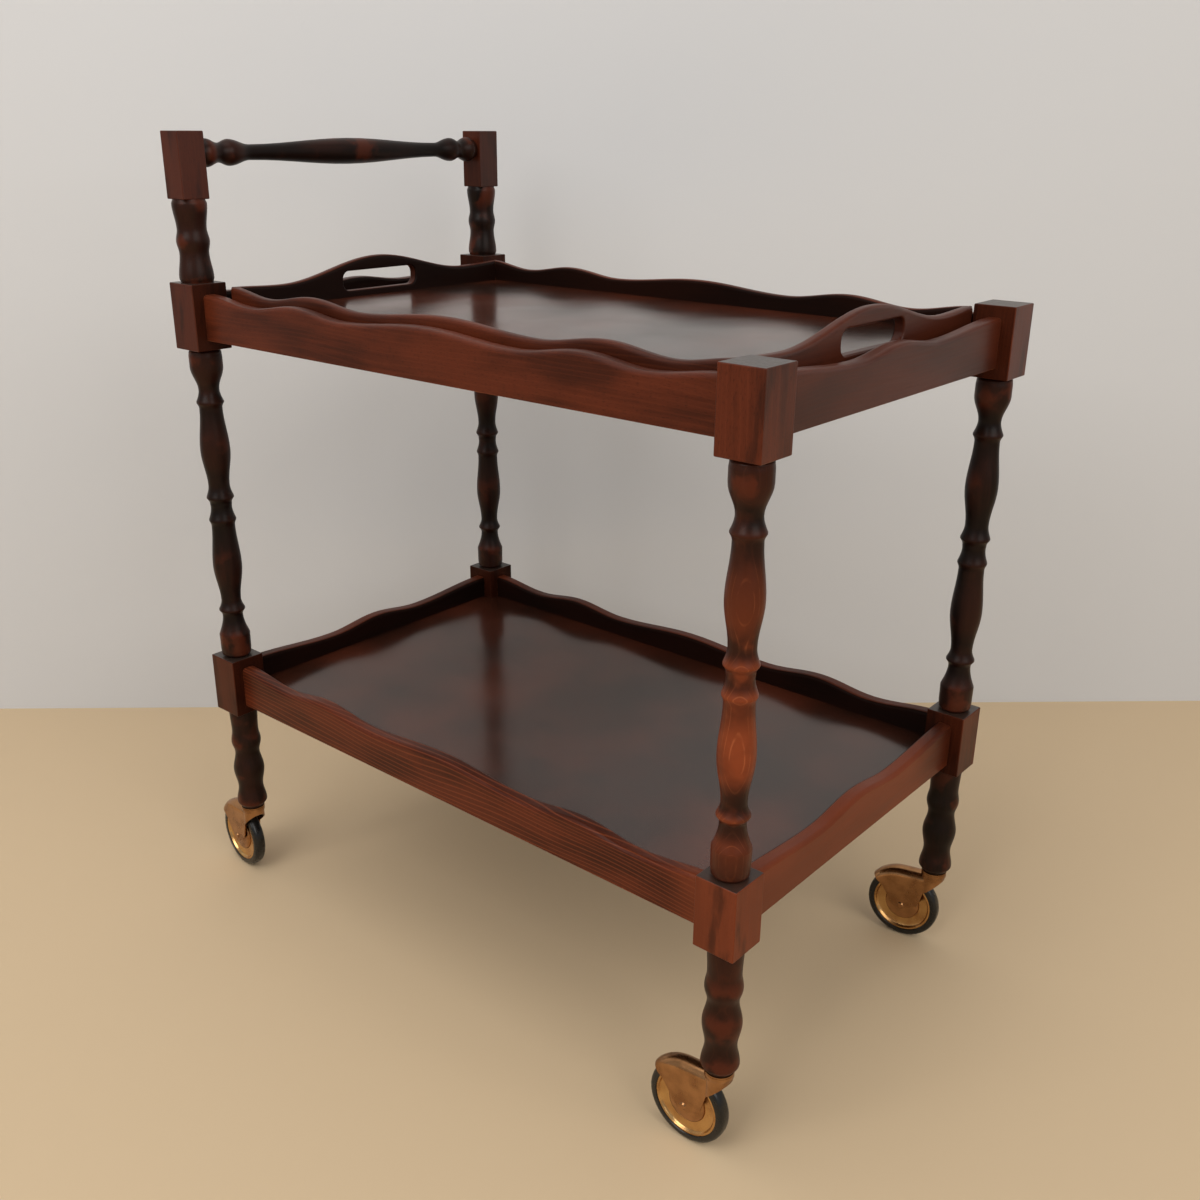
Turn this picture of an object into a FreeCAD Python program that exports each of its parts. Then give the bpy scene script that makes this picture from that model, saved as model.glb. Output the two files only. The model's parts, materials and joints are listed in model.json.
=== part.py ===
# Two-tier serving trolley in turned and stained beech, with a lift-off tray and swivel castors.
# Millimetres, +Z up. The origin is on the floor, under the middle of the four legs.
# +X points away from the push bar, and the person pushing has +Y on the left.
import FreeCAD, Part
import math
import os
import re

import Sketcher
from FreeCAD import Placement, Rotation, Vector

# Driving sizes, one cell of the sheet each
SIZES = {
    # Frame: four legs on a rectangle, with square blocks where the rails meet them
    "leg_spacing_along": 641.0,
    "leg_spacing_across": 385.0,
    "block_side": 38.0,
    "block_height": 63.0,
    "block_bevel": 1.0,
    "leg_length": 326.0,
    "leg_dia": 32.0,
    "foot_length": 122.0,
    "foot_dia": 33.0,
    "turning_round": 3.5,
    "tenon_dia": 18.0,
    "tenon_length": 15.0,
    "glue_gap": 0.5,
    # Push bar, on two posts above the rear blocks
    "post_length": 76.0,
    "post_dia": 32.5,
    "handle_block_side": 28.0,
    "handle_block_height": 60.0,
    "bar_dia": 26.0,
    "bar_drop": 19.5,
    "bar_tenon_dia": 12.0,
    "bar_tenon_length": 11.0,
    # Rails with a wavy top edge, dowelled to the blocks
    "rail_thickness": 15.0,
    "rail_rise": 10.0,
    "rail_height": 43.0,
    "rail_wave": 6.5,
    "rail_round": 4.0,
    "dowel_dia": 6.0,
    "dowel_length": 28.0,
    "dowel_rise": 9.0,
    "dowel_pitch": 17.0,
    # Lower shelf, a thin panel held in grooves of the lower rails
    "shelf_thickness": 4.0,
    "shelf_rise": 14.0,
    "shelf_groove": 5.0,
    "panel_gap": 0.3,
    # Ledger strips inside the long upper rails, which carry the tray
    "ledger_side": 12.0,
    "ledger_rise": 1.5,
    "screw_dia": 4.0,
    "screw_head_dia": 8.0,
    "screw_head_depth": 2.5,
    "screw_length": 19.0,
    # Tray: four mitred walls round a thin floor, with a hand slot in each raised end.
    # It stands free of the rails beside it and of the blocks before and behind it by three gaps
    "tray_side_gap": 4.0,
    "tray_front_gap": 1.0,
    "tray_rear_gap": 13.0,
    "tray_wall": 10.0,
    "tray_height": 36.5,
    "tray_wave": 6.8,
    "tray_end_dip": 2.0,
    "tray_end_height": 54.5,
    "tray_round": 3.5,
    "tray_corner": 8.0,
    "tray_floor_thickness": 4.0,
    "tray_floor_rise": 11.0,
    "tray_groove": 4.0,
    "slot_length": 98.0,
    "slot_height": 19.5,
    "slot_rise": 21.5,
    "slot_corner": 8.0,
    "slot_ease": 2.0,
    # Castors: a pressed fork swivels on a stem in a socket, and a tyred disc turns on its axle
    "castor_height": 87.0,
    "castor_trail": 28.0,
    "wheel_dia": 75.0,
    "tyre_width": 13.0,
    "tyre_depth": 7.0,
    "tyre_round": 3.0,
    "disc_hub_dia": 37.0,
    "disc_hub_width": 12.0,
    "disc_web_width": 7.0,
    "disc_bead_width": 12.0,
    "disc_bead_depth": 3.0,
    "disc_boss_dia": 13.0,
    "side_play": 0.5,
    "axle_dia": 6.0,
    "rivet_head_dia": 7.4,
    "rivet_head_height": 1.2,
    "running_clearance": 0.05,
    "fork_gap": 17.0,
    "fork_sheet": 1.2,
    "fork_bend": 9.0,
    "hood_radius": 42.0,
    "lobe_radius": 7.0,
    "collar_dia": 25.0,
    "collar_height": 7.5,
    "collar_rim": 4.0,
    "cup_dia": 23.0,
    "cheek_seam": 6.0,
    "swivel_gap": 0.3,
    "stem_dia": 10.0,
    "stem_length": 34.0,
    "stem_head_dia": 13.0,
    "stem_head_height": 1.5,
    "socket_wall": 2.0,
    "socket_length": 36.0,
    "socket_flange": 1.2,
    # Which way each castor trails, in degrees from +X towards +Y
    "front_left_swing_angle": 187.0,
    "front_right_swing_angle": 181.0,
    "rear_left_swing_angle": 183.0,
    "rear_right_swing_angle": 174.0,
    # Every cut runs this far past the face that it opens
    "overrun": 2.0,
}

# Turned outlines, as (share of the length, share of the diameter) at each swell and neck
LEG_HALF_SHARES = [(0.11, 1.0), (0.25, 0.625), (0.325, 0.83), (0.37, 0.69), (0.626, 0.92),
                   (0.847, 0.67), (0.93, 0.845), (1.0, 0.69)]
FOOT_SHARES = [(0.0, 0.72), (0.062, 0.98), (0.213, 0.81), (0.39, 1.0), (0.561, 0.79),
               (0.672, 0.955), (0.779, 0.85), (1.0, 0.91)]
POST_SHARES = [(0.1, 1.0), (0.355, 0.845), (0.5, 0.955), (0.645, 0.845), (0.9, 1.0)]
BAR_HALF_SHARES = [(1.0, 0.78), (0.952, 1.0), (0.874, 0.69), (0.807, 0.94), (0.678, 0.557),
                   (0.0, 0.98)]
# Wavy edges, as (share of the half length, share of the wave) from the middle to one end
LONG_RAIL_SHARES = [(0.0, 1.0), (0.345, 0.0), (0.565, 1.0), (0.77, 0.0), (1.0, 1.0)]
SHORT_RAIL_SHARES = [(0.0, 1.0), (0.375, 0.0), (1.0, 1.0)]
TRAY_SIDE_SHARES = [(0.0, 1.0), (0.36, 0.0), (0.585, 1.0), (0.8, 0.0), (1.0, 1.0)]
TRAY_DIP_SHARE = 0.68
# Fork cheek corners, as shares of the wheel radius from the axle, and the height of the cup's foot
CHEEK_BACK_SHARES = (0.58, 0.45)
CHEEK_FRONT_SHARES = (-0.46, 0.12)
CUP_FOOT_SHARE = 0.6
SCREW_SHARES = (-0.75, 0.0, 0.75)
# How far the round parts of a wheel and its rivets narrow towards their outer faces
RIVET_TIP_SHARE = 0.7
BOSS_TIP_SHARE = 0.8
HUB_TIP_SHARE = 0.85
BEAD_TIP_SHARE = 0.7
# How much of the hood's radius is left where the space inside it steps down to the floor
MOUTH_STEP_SHARE = 0.75

# Angles about the axle where the fork's hood and its round lobe start and end
HOOD_TIP_ANGLE = 37
HOOD_MOUTH_ANGLE = 20
LOBE_BACK_ANGLE = -40
LOBE_FRONT_ANGLE = -155

CORNERS = {"front_left": (1, 1), "front_right": (1, -1), "rear_left": (-1, 1), "rear_right": (-1, -1)}

# Places that follow from the driving sizes
LEG_X = "(leg_spacing_along / 2)"
LEG_Y = "(leg_spacing_across / 2)"
LOWER_BLOCK_Z = "(castor_height + foot_length)"
UPPER_BLOCK_Z = f"({LOWER_BLOCK_Z} + block_height + leg_length)"
HANDLE_BLOCK_Z = f"({UPPER_BLOCK_Z} + block_height + post_length)"
TRAY_LENGTH = "(leg_spacing_along - block_side - tray_front_gap - tray_rear_gap)"
TRAY_WIDTH = "(leg_spacing_across - rail_thickness - 2 * tray_side_gap)"
TRAY_X = "((tray_rear_gap - tray_front_gap) / 2)"
TRAY_Z = f"({UPPER_BLOCK_Z} + rail_rise + ledger_rise + ledger_side)"
AXLE_Z = "(wheel_dia / 2)"
COLLAR_TOP_Z = "(castor_height - socket_flange - swivel_gap)"
COLLAR_BOTTOM_Z = f"({COLLAR_TOP_Z} - collar_height)"
SOCKET_DIA = "(stem_dia + 2 * running_clearance + 2 * socket_wall)"
LEDGER_LENGTH = "(leg_spacing_along - block_side - 2 * panel_gap)"

doc = FreeCAD.newDocument("ServingTrolley")
sheet = doc.addObject("Spreadsheet::Sheet", "Sizes")
for row, (alias, number) in enumerate(SIZES.items(), start=1):
    sheet.set(f"A{row}", alias)
    sheet.set(f"B{row}", str(number))
    sheet.setAlias(f"B{row}", alias)
doc.recompute()

TINY = 1e-6
pieces = []


def cells(text):
    """An expression in which every size is read from its cell."""
    return re.sub(r"[a-z]\w*", lambda word: f"Sizes.{word[0]}" if word[0] in SIZES else word[0], str(text))


def value(text):
    """The number that an expression gives now."""
    return float(sheet.evalExpression(cells(text)))


def bind(thing, **sizes):
    """Tie an object's own sizes to cells."""
    for name, text in sizes.items():
        thing.setExpression(name, cells(text))


def place(thing, x="0", y="0", z="0", turn=0):
    """Turn an object about Z and tie its place to cells."""
    thing.Placement = Placement(Vector(), Rotation(Vector(0, 0, 1), turn))
    for axis, text in zip("xyz", (x, y, z)):
        thing.setExpression(f"Placement.Base.{axis}", cells(text))


def keep(label, thing, **where):
    """Name a finished piece and put it in its place."""
    thing.Label = label
    place(thing, **where)
    pieces.append(thing)


def settle(*things):
    """Work out new objects, in order, so that the next step can read their shapes."""
    for thing in things:
        thing.recompute()


def sketch_on(body, name, role):
    """A new sketch on one of the body's own planes."""
    sketch = body.newObject("Sketcher::SketchObject", name)
    plane = next(feature for feature in body.Origin.OriginFeatures if feature.Role == role)
    sketch.AttachmentSupport = [(plane, "")]
    sketch.MapMode = "FlatFace"
    return sketch


def arc_through(start, centre, end):
    """The shorter arc from start to end about a centre."""
    radius = (start - centre).Length
    middle = (start - centre) + (end - centre)
    return Part.Arc(start, centre + middle.normalize() * radius, end)


def pin_point(edge, position, x, y):
    """Rules that tie one end of a sketched edge to two expressions, each with its expression."""
    rules = []
    for kind, text, axis in (("DistanceX", x, -2), ("DistanceY", y, -1)):
        number = value(text)
        if abs(number) < TINY:
            rules.append((Sketcher.Constraint("PointOnObject", edge, position, axis), None))
        else:
            rules.append((Sketcher.Constraint(kind, -1, 1, edge, position, number), cells(text)))
    return rules


def draw(sketch, path, flow_along="x"):
    """Draw a closed outline from steps of (kind, x, y).

    A line runs straight to its point. A flow swings there on two equal tangent arcs that leave
    and arrive along one axis, as a wave or a turned swell does. An arc step also has the
    expressions of its centre.
    """
    steps = []
    for (_, x0, y0, *_), (kind, x1, y1, *centre) in zip(path, path[1:] + path[:1]):
        start = Vector(value(x0), value(y0), 0)
        end = Vector(value(x1), value(y1), 0)
        rise = end - start
        across = rise.y if flow_along == "x" else rise.x
        if kind == "flow" and abs(across) > TINY:
            radius = (rise.x ** 2 + rise.y ** 2) / (4 * across)
            reach = Vector(0, radius, 0) if flow_along == "x" else Vector(radius, 0, 0)
            halfway = (start + end) / 2
            half_x = f"(({x0}) + ({x1})) / 2"
            half_y = f"(({y0}) + ({y1})) / 2"
            steps.append((arc_through(start, start + reach, halfway), start, half_x, half_y, "leave"))
            steps.append((arc_through(halfway, end - reach, end), halfway, x1, y1, "arrive"))
        elif kind == "arc":
            middle = Vector(value(centre[0]), value(centre[1]), 0)
            steps.append((arc_through(start, middle, end), start, x1, y1, centre))
        else:
            steps.append((Part.LineSegment(start, end), start, x1, y1, "straight"))
    first = sketch.GeometryCount
    for shape, *_ in steps:
        sketch.addGeometry(shape)
    ends = []
    for index, (_, start, *_) in enumerate(steps):
        starts_first = (sketch.getPoint(first + index, 1) - start).Length < TINY
        ends.append((1, 2) if starts_first else (2, 1))
    level = "Vertical" if flow_along == "x" else "Horizontal"
    rules = []
    for index, (_, _, x, y, manner) in enumerate(steps):
        edge = first + index
        following = (index + 1) % len(steps)
        rules.append((Sketcher.Constraint("Coincident", edge, ends[index][1],
                                          first + following, ends[following][0]), None))
        rules += pin_point(edge, ends[index][1], x, y)
        if manner == "leave":
            rules.append((Sketcher.Constraint(level, edge, 3, edge, ends[index][0]), None))
        elif manner == "arrive":
            rules.append((Sketcher.Constraint(level, edge, 3, edge, ends[index][1]), None))
    before = sketch.ConstraintCount
    sketch.addConstraint([rule for rule, _ in rules])
    for index, (_, text) in enumerate(rules, start=before):
        if text:
            sketch.setExpression(f"Constraints[{index}]", text)


def prism(label, role, path, length, symmetric=False, flow_along="x"):
    """A body that starts as a padded outline."""
    body = doc.addObject("PartDesign::Body", f"{label}_body")
    sketch = sketch_on(body, f"{label}_outline", role)
    draw(sketch, path, flow_along)
    pad = body.newObject("PartDesign::Pad", f"{label}_pad")
    pad.Profile = sketch
    pad.Midplane = symmetric
    bind(pad, Length=length)
    settle(sketch, pad)
    return body


def trim(body, label, role, path, length):
    """Cut an outline right through a body, the same way to both sides of its plane."""
    sketch = sketch_on(body, f"{label}_cut_outline", role)
    draw(sketch, path)
    pocket = body.newObject("PartDesign::Pocket", f"{label}_cut")
    pocket.Profile = sketch
    pocket.Midplane = True
    bind(pocket, Length=length)
    settle(sketch, pocket)
    return body


def ease(body, label, radius, wanted):
    """Round the edges of a body that a test picks."""
    base = body.Tip
    names = [f"Edge{index}" for index, edge in enumerate(base.Shape.Edges, start=1) if wanted(edge)]
    fillet = body.newObject("PartDesign::Fillet", f"{label}_round")
    fillet.Base = (base, names)
    bind(fillet, Radius=radius)
    settle(fillet)
    return body


def turned(label, role, path):
    """A body turned about the upright axis of its outline's plane."""
    body = doc.addObject("PartDesign::Body", f"{label}_body")
    sketch = sketch_on(body, f"{label}_outline", role)
    draw(sketch, path, flow_along="y")
    spin = body.newObject("PartDesign::Revolution", f"{label}_turned")
    spin.Profile = sketch
    spin.ReferenceAxis = (sketch, ["V_Axis"])
    spin.Angle = 360
    return body


def rod(name, dia, length, along="z", x="0", y="0", z="0"):
    """A round bar or drill along one axis, from its start point."""
    cylinder = doc.addObject("Part::Cylinder", name)
    bind(cylinder, Radius=f"{dia} / 2", Height=length)
    place(cylinder, x, y, z)
    if along == "x":
        cylinder.Placement.Rotation = Rotation(Vector(0, 1, 0), 90)
    elif along == "y":
        cylinder.Placement.Rotation = Rotation(Vector(1, 0, 0), -90)
    return cylinder


def slab(name, length, width, height, x="0", y="0", z="0"):
    """A box centred on its place in plan."""
    box = doc.addObject("Part::Box", name)
    bind(box, Length=length, Width=width, Height=height)
    place(box, f"{x} - ({length}) / 2", f"{y} - ({width}) / 2", z)
    return box


def group(name, things):
    """Several separate solids as one object."""
    together = doc.addObject("Part::Compound", name)
    together.Links = things
    return together


def cut(name, blank, tools):
    """A blank with its drills and grooves taken out."""
    result = doc.addObject("Part::Cut", name)
    result.Base = blank
    result.Tool = group(f"{name}_tools", tools)
    return result


def rectangle(length, width):
    """The outline of a rectangle about the origin."""
    return [("line", f"{sx} * {length} / 2", f"{sy} * {width} / 2")
            for sx, sy in ((-1, -1), (1, -1), (1, 1), (-1, 1))]


def tenon_bore(name, height=None):
    """A drill for a round tenon, up from the bottom of a block or down from its top."""
    start = "-overrun" if height is None else f"{height} - tenon_length - glue_gap"
    return rod(name, "tenon_dia", "tenon_length + glue_gap + overrun", z=start)


def dowel_bores(name, along, sign, reach, rise):
    """Two dowel drills, one above the other, into the face at a reach along an axis."""
    depth = "(dowel_length / 2 + glue_gap)"
    start = f"{reach} - {depth}" if sign > 0 else f"-({reach}) - overrun"
    bores = []
    for step in range(2):
        where = {along: start, "z": f"{rise} + {step} * dowel_pitch"}
        bores.append(rod(f"{name}_{step}", "dowel_dia", f"{depth} + overrun", along, **where))
    return bores


def bevel_all(body, label):
    """Take a small bevel off every arris of a block."""
    base = body.Tip
    bevel = body.newObject("PartDesign::Chamfer", f"{label}_bevel")
    bevel.Base = (base, [f"Edge{index}" for index in range(1, len(base.Shape.Edges) + 1)])
    bind(bevel, Size="block_bevel")
    settle(bevel)


def corner_block(label, sx, sy, bores):
    """A square block with bevelled arrises, bored for its turnings and for the rails' dowels."""
    body = prism(label, "XY_Plane", rectangle("block_side", "block_side"), "block_height")
    bevel_all(body, label)
    rise = "(rail_rise + dowel_rise)"
    tools = list(bores)
    tools += dowel_bores(f"{label}_along", "x", -sx, "block_side / 2", rise)
    tools += dowel_bores(f"{label}_across", "y", -sy, "block_side / 2", rise)
    return cut(f"{label}_bored", body, tools)


def handle_block(label, sy):
    """A slimmer block on top of a post, with a side bore for the push bar."""
    body = prism(label, "XY_Plane", rectangle("handle_block_side", "handle_block_side"),
                 "handle_block_height")
    bevel_all(body, label)
    depth = "(bar_tenon_length + glue_gap)"
    start = "-handle_block_side / 2 - overrun" if sy > 0 else f"handle_block_side / 2 - {depth}"
    bar_bore = rod(f"{label}_bar_bore", "bar_tenon_dia", f"{depth} + overrun", "y",
                   y=start, z="handle_block_height - bar_drop")
    return cut(f"{label}_bored", body, [tenon_bore(f"{label}_post_bore"), bar_bore])


def spindle_path(length, dia, shares):
    """Half section of a turning from its lower shoulder to its upper one."""
    return [("flow", f"{dia} / 2 * {girth}", f"{length} * {along}") for along, girth in shares]


def rounded_spindle(length, dia, shares):
    """Half section of a turning whose shoulders are rounded over where they meet the blocks."""
    full, shoulder = f"({dia} / 2)", f"({dia} / 2 - turning_round)"
    upper = f"({length} - turning_round)"
    below = [("line", shoulder, "0"), ("arc", full, "turning_round", shoulder, "turning_round")]
    above = [("line", full, upper), ("arc", shoulder, length, shoulder, upper)]
    return below + spindle_path(length, dia, shares) + above


def tenon_below():
    """Half section of the round tenon under a turning."""
    return [("line", "0", "-tenon_length"), ("line", "tenon_dia / 2", "-tenon_length"),
            ("line", "tenon_dia / 2", "0")]


def tenon_above(length):
    """Half section of the round tenon on top of a turning."""
    return [("line", "tenon_dia / 2", length), ("line", "tenon_dia / 2", f"{length} + tenon_length"),
            ("line", "0", f"{length} + tenon_length")]


def stepped(path):
    """The same path, reached by a straight step from the tenon's shoulder."""
    return [("line", *path[0][1:])] + path[1:]


def leg(label):
    """A long turning between a lower and an upper block, the same above and below its middle."""
    half = [(along / 2, girth) for along, girth in LEG_HALF_SHARES]
    shares = half + [(1 - along, girth) for along, girth in reversed(half[:-1])]
    path = rounded_spindle("leg_length", "leg_dia", shares)
    return turned(label, "XZ_Plane", tenon_below() + path + tenon_above("leg_length"))


def foot(label):
    """A short turning under a lower block, bored from below for the castor's socket."""
    bore = [("line", "0", "socket_length + glue_gap"),
            ("line", f"{SOCKET_DIA} / 2", "socket_length + glue_gap"), ("line", f"{SOCKET_DIA} / 2", "0")]
    path = stepped(spindle_path("foot_length", "foot_dia", FOOT_SHARES))
    return turned(label, "XZ_Plane", bore + path + tenon_above("foot_length"))


def handle_post(label):
    """A short turning between an upper block and a handle block."""
    path = rounded_spindle("post_length", "post_dia", POST_SHARES)
    return turned(label, "XZ_Plane", tenon_below() + path + tenon_above("post_length"))


def push_bar(label):
    """The turned bar between the two handle blocks, with a small tenon on each end."""
    reach = f"({LEG_Y} - handle_block_side / 2)"
    near = [(-along, girth) for along, girth in BAR_HALF_SHARES[:-1]]
    shares = near + [(along, girth) for along, girth in reversed(BAR_HALF_SHARES)]
    path = stepped(spindle_path(reach, "bar_dia", shares))
    tenon = "bar_tenon_dia / 2"
    tip = f"({reach} + bar_tenon_length)"
    below = [("line", "0", f"-{tip}"), ("line", tenon, f"-{tip}"), ("line", tenon, f"-{reach}")]
    above = [("line", tenon, reach), ("line", tenon, tip), ("line", "0", tip)]
    return turned(label, "XY_Plane", below + path + above)


def wave(half, crest, depth, shares):
    """Points of a wavy edge from its left end to its right end."""
    right = [("flow", f"{half} * {along}", f"{crest} - {depth} * {1 - swell}") for along, swell in shares]
    left = [("flow", f"-({x})", y) for _, x, y in reversed(right[1:])]
    return left + right


def not_across(edge):
    """True for an edge that runs along a piece, and not through its thickness."""
    start, end = edge.Vertexes[0].Point, edge.Vertexes[-1].Point
    return abs(end.x - start.x) > TINY


def rail_groove(label, half):
    """The groove along a lower rail's inner face."""
    return slab(f"{label}_groove", f"2 * {half} + 2 * overrun", "shelf_groove + overrun", "shelf_thickness",
                y="(rail_thickness / 2 - shelf_groove / 2 + overrun / 2)", z="shelf_rise")


def pilot_bores(label):
    """The screws' pilot bores in an upper rail's inner face."""
    depth = "(screw_length - ledger_side)"
    return [rod(f"{label}_pilot_{index}", "screw_dia", f"{depth} + overrun", "y",
                x=f"{LEDGER_LENGTH} / 2 * {share}", y=f"rail_thickness / 2 - {depth}",
                z="ledger_rise + ledger_side / 2")
            for index, share in enumerate(SCREW_SHARES)]


def rail(label, spacing, shares):
    """A rail between two blocks, with a rounded wavy top and dowel bores in its ends."""
    half = f"(({spacing} - block_side) / 2)"
    crest = wave(half, "rail_height", "rail_wave", shares)
    path = [("line", f"-{half}", "0"), ("line", *crest[0][1:]), *crest[1:], ("line", half, "0")]
    body = prism(label, "XZ_Plane", path, "rail_thickness", symmetric=True)
    low = value("rail_height - rail_wave")
    ease(body, label, "rail_round",
         lambda edge: edge.BoundBox.ZMin > low - TINY and not_across(edge))
    tools = dowel_bores(f"{label}_left", "x", -1, half, "dowel_rise")
    tools += dowel_bores(f"{label}_right", "x", 1, half, "dowel_rise")
    if label.startswith("lower"):
        tools.append(rail_groove(label, half))
    elif spacing == "leg_spacing_along":
        tools += pilot_bores(label)
    return cut(f"{label}_cut", body, tools)


def notched_panel(label):
    """The lower shelf: a thin panel in the rails' grooves, notched round the four blocks."""
    long_half = f"({LEG_X} - rail_thickness / 2 + shelf_groove - panel_gap)"
    wide_half = f"({LEG_Y} - rail_thickness / 2 + shelf_groove - panel_gap)"
    notch_x = f"({LEG_X} - block_side / 2 - panel_gap)"
    notch_y = f"({LEG_Y} - block_side / 2 - panel_gap)"
    corner = [(long_half, notch_y), (notch_x, notch_y), (notch_x, wide_half)]
    path = [(x, y) for x, y in corner]
    path += [(f"-{x}", y) for x, y in reversed(corner)]
    path += [(f"-{x}", f"-{y}") for x, y in corner]
    path += [(x, f"-{y}") for x, y in reversed(corner)]
    return prism(label, "XY_Plane", [("line", x, y) for x, y in path], "shelf_thickness")


def tray_wall(label, length, crest):
    """One mitred wall of the tray: outer face at y = 0, inner face at y = tray_wall."""
    half = f"({length} / 2)"
    inset = f"(tray_corner * {1 - math.sqrt(0.5)})"
    round_x = f"({half} - tray_corner)"
    mitre_x = f"({half} - {inset})"
    inner_x = f"({half} - tray_wall)"
    plan = [("arc", f"-{round_x}", "0", f"-{round_x}", "tray_corner"), ("line", round_x, "0"),
            ("arc", mitre_x, inset, round_x, "tray_corner"), ("line", inner_x, "tray_wall"),
            ("line", f"-{inner_x}", "tray_wall"), ("line", f"-{mitre_x}", inset)]
    body = prism(label, "XY_Plane", plan, "tray_end_height + overrun")
    sky = "tray_end_height + 2 * overrun"
    above = [("line", *crest[0][1:]), *crest[1:], ("line", crest[-1][1], sky), ("line", crest[0][1], sky)]
    trim(body, f"{label}_top", "XZ_Plane", above, "2 * tray_wall + 2 * overrun")
    low = value("tray_height - tray_wave - tray_end_dip")
    mitre = value(half)

    def on_top(edge):
        middle = edge.CenterOfMass
        on_mitre = abs(abs(middle.x) + middle.y - mitre) < TINY
        return edge.BoundBox.ZMin > low - TINY and not_across(edge) and not on_mitre

    return ease(body, label, "tray_round", on_top)


def grooved_wall(label, body, length):
    """The tray wall with the groove that holds the floor."""
    groove = slab(f"{label}_groove", length, "tray_groove + overrun", "tray_floor_thickness",
                  y="(tray_wall - tray_groove / 2 + overrun / 2)", z="tray_floor_rise")
    return cut(f"{label}_grooved", body, [groove])


def tray_side(label):
    """A long wall of the tray, wavy like the rail beside it."""
    crest = wave(f"({TRAY_LENGTH} / 2)", "tray_height", "tray_wave", TRAY_SIDE_SHARES)
    return grooved_wall(label, tray_wall(label, TRAY_LENGTH, crest), TRAY_LENGTH)


def tray_end(label):
    """An end wall of the tray, raised in the middle over a hand slot with eased edges."""
    half = f"({TRAY_WIDTH} / 2)"
    dip = "tray_height - tray_end_dip"
    right = [("flow", "0", "tray_end_height"), ("flow", f"{half} * {TRAY_DIP_SHARE}", dip),
             ("flow", half, "tray_height")]
    crest = [("flow", f"-({x})", y) for _, x, y in reversed(right[1:])] + right
    body = tray_wall(label, TRAY_WIDTH, crest)
    x, z = "(slot_length / 2)", "(slot_rise + slot_height)"
    inner_x, low_z, high_z = f"({x} - slot_corner)", "(slot_rise + slot_corner)", f"({z} - slot_corner)"
    slot = [("line", inner_x, "slot_rise"), ("arc", x, low_z, inner_x, low_z),
            ("line", x, high_z), ("arc", inner_x, z, inner_x, high_z),
            ("line", f"-{inner_x}", z), ("arc", f"-{x}", high_z, f"-{inner_x}", high_z),
            ("line", f"-{x}", low_z), ("arc", f"-{inner_x}", "slot_rise", f"-{inner_x}", low_z)]
    trim(body, f"{label}_slot", "XZ_Plane", slot, "2 * tray_wall + 2 * overrun")
    reach, floor, roof = value(x), value("slot_rise"), value(z)

    def round_slot(edge):
        box = edge.BoundBox
        within = abs(edge.CenterOfMass.x) < reach + TINY and box.YLength < TINY
        return within and box.ZMin > floor - TINY and box.ZMax < roof + TINY

    ease(body, f"{label}_slot", "slot_ease", round_slot)
    return grooved_wall(label, body, TRAY_WIDTH)


def about_axle(radius, angle):
    """A point of the fork's outline at a radius and an angle about the wheel's axle."""
    turn = math.radians(angle)
    return f"(castor_trail + {radius} * {math.cos(turn)})", f"({AXLE_Z} + {radius} * {math.sin(turn)})"


def from_axle(shares):
    """A point of the fork's outline at shares of the wheel's radius from the axle."""
    return f"(castor_trail + wheel_dia / 2 * {shares[0]})", f"({AXLE_Z} + wheel_dia / 2 * {shares[1]})"


def hood_top(radius, x, z):
    """The point of a hood's round crown where a straight slope from x, z runs into it."""
    along, up = f"({x} - castor_trail)", f"({z} - {AXLE_Z})"
    turn = f"(atan2({up}; {along}) - acos({radius} / hypot({up}; {along})))"
    return f"(castor_trail + {radius} * cos({turn}))", f"({AXLE_Z} + {radius} * sin({turn}))"


def round_hood(body, label, radius, end):
    """Round the long edges along the top of a hood, over its slope and crown to an end height."""
    lowest = value(end) - TINY
    return ease(body, label, radius, lambda edge: edge.BoundBox.ZMin > lowest and not_across(edge))


def swivel_cup(label, foot_z):
    """The collar and the round cup under it, cut off on a slant and open behind for the wheel."""
    rim, skin, hollow = "(collar_dia / 2)", "(cup_dia / 2)", "(cup_dia / 2 - fork_sheet)"
    shoulder = f"({COLLAR_TOP_Z} - collar_rim)"
    cup = turned(f"{label}_cup", "XZ_Plane",
                 [("line", "stem_dia / 2", COLLAR_BOTTOM_Z), ("line", hollow, COLLAR_BOTTOM_Z),
                  ("line", hollow, foot_z), ("line", skin, foot_z), ("line", skin, shoulder),
                  ("line", rim, shoulder), ("line", rim, COLLAR_TOP_Z),
                  ("line", "stem_dia / 2", COLLAR_TOP_Z)])
    front, back, lap = f"(-{rim} - overrun)", f"({rim} + overrun)", "(cheek_seam + fork_sheet)"
    below = [("line", front, COLLAR_BOTTOM_Z), ("line", f"-{skin}", COLLAR_BOTTOM_Z),
             ("line", "cheek_seam", foot_z), ("line", lap, foot_z), ("line", lap, COLLAR_BOTTOM_Z),
             ("line", back, COLLAR_BOTTOM_Z), ("line", back, "0"), ("line", front, "0")]
    waste = prism(f"{label}_cup_waste", "XZ_Plane", below, "collar_dia + 2 * overrun", symmetric=True)
    return cut(f"{label}_swivel_cup", cup, [waste])


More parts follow.
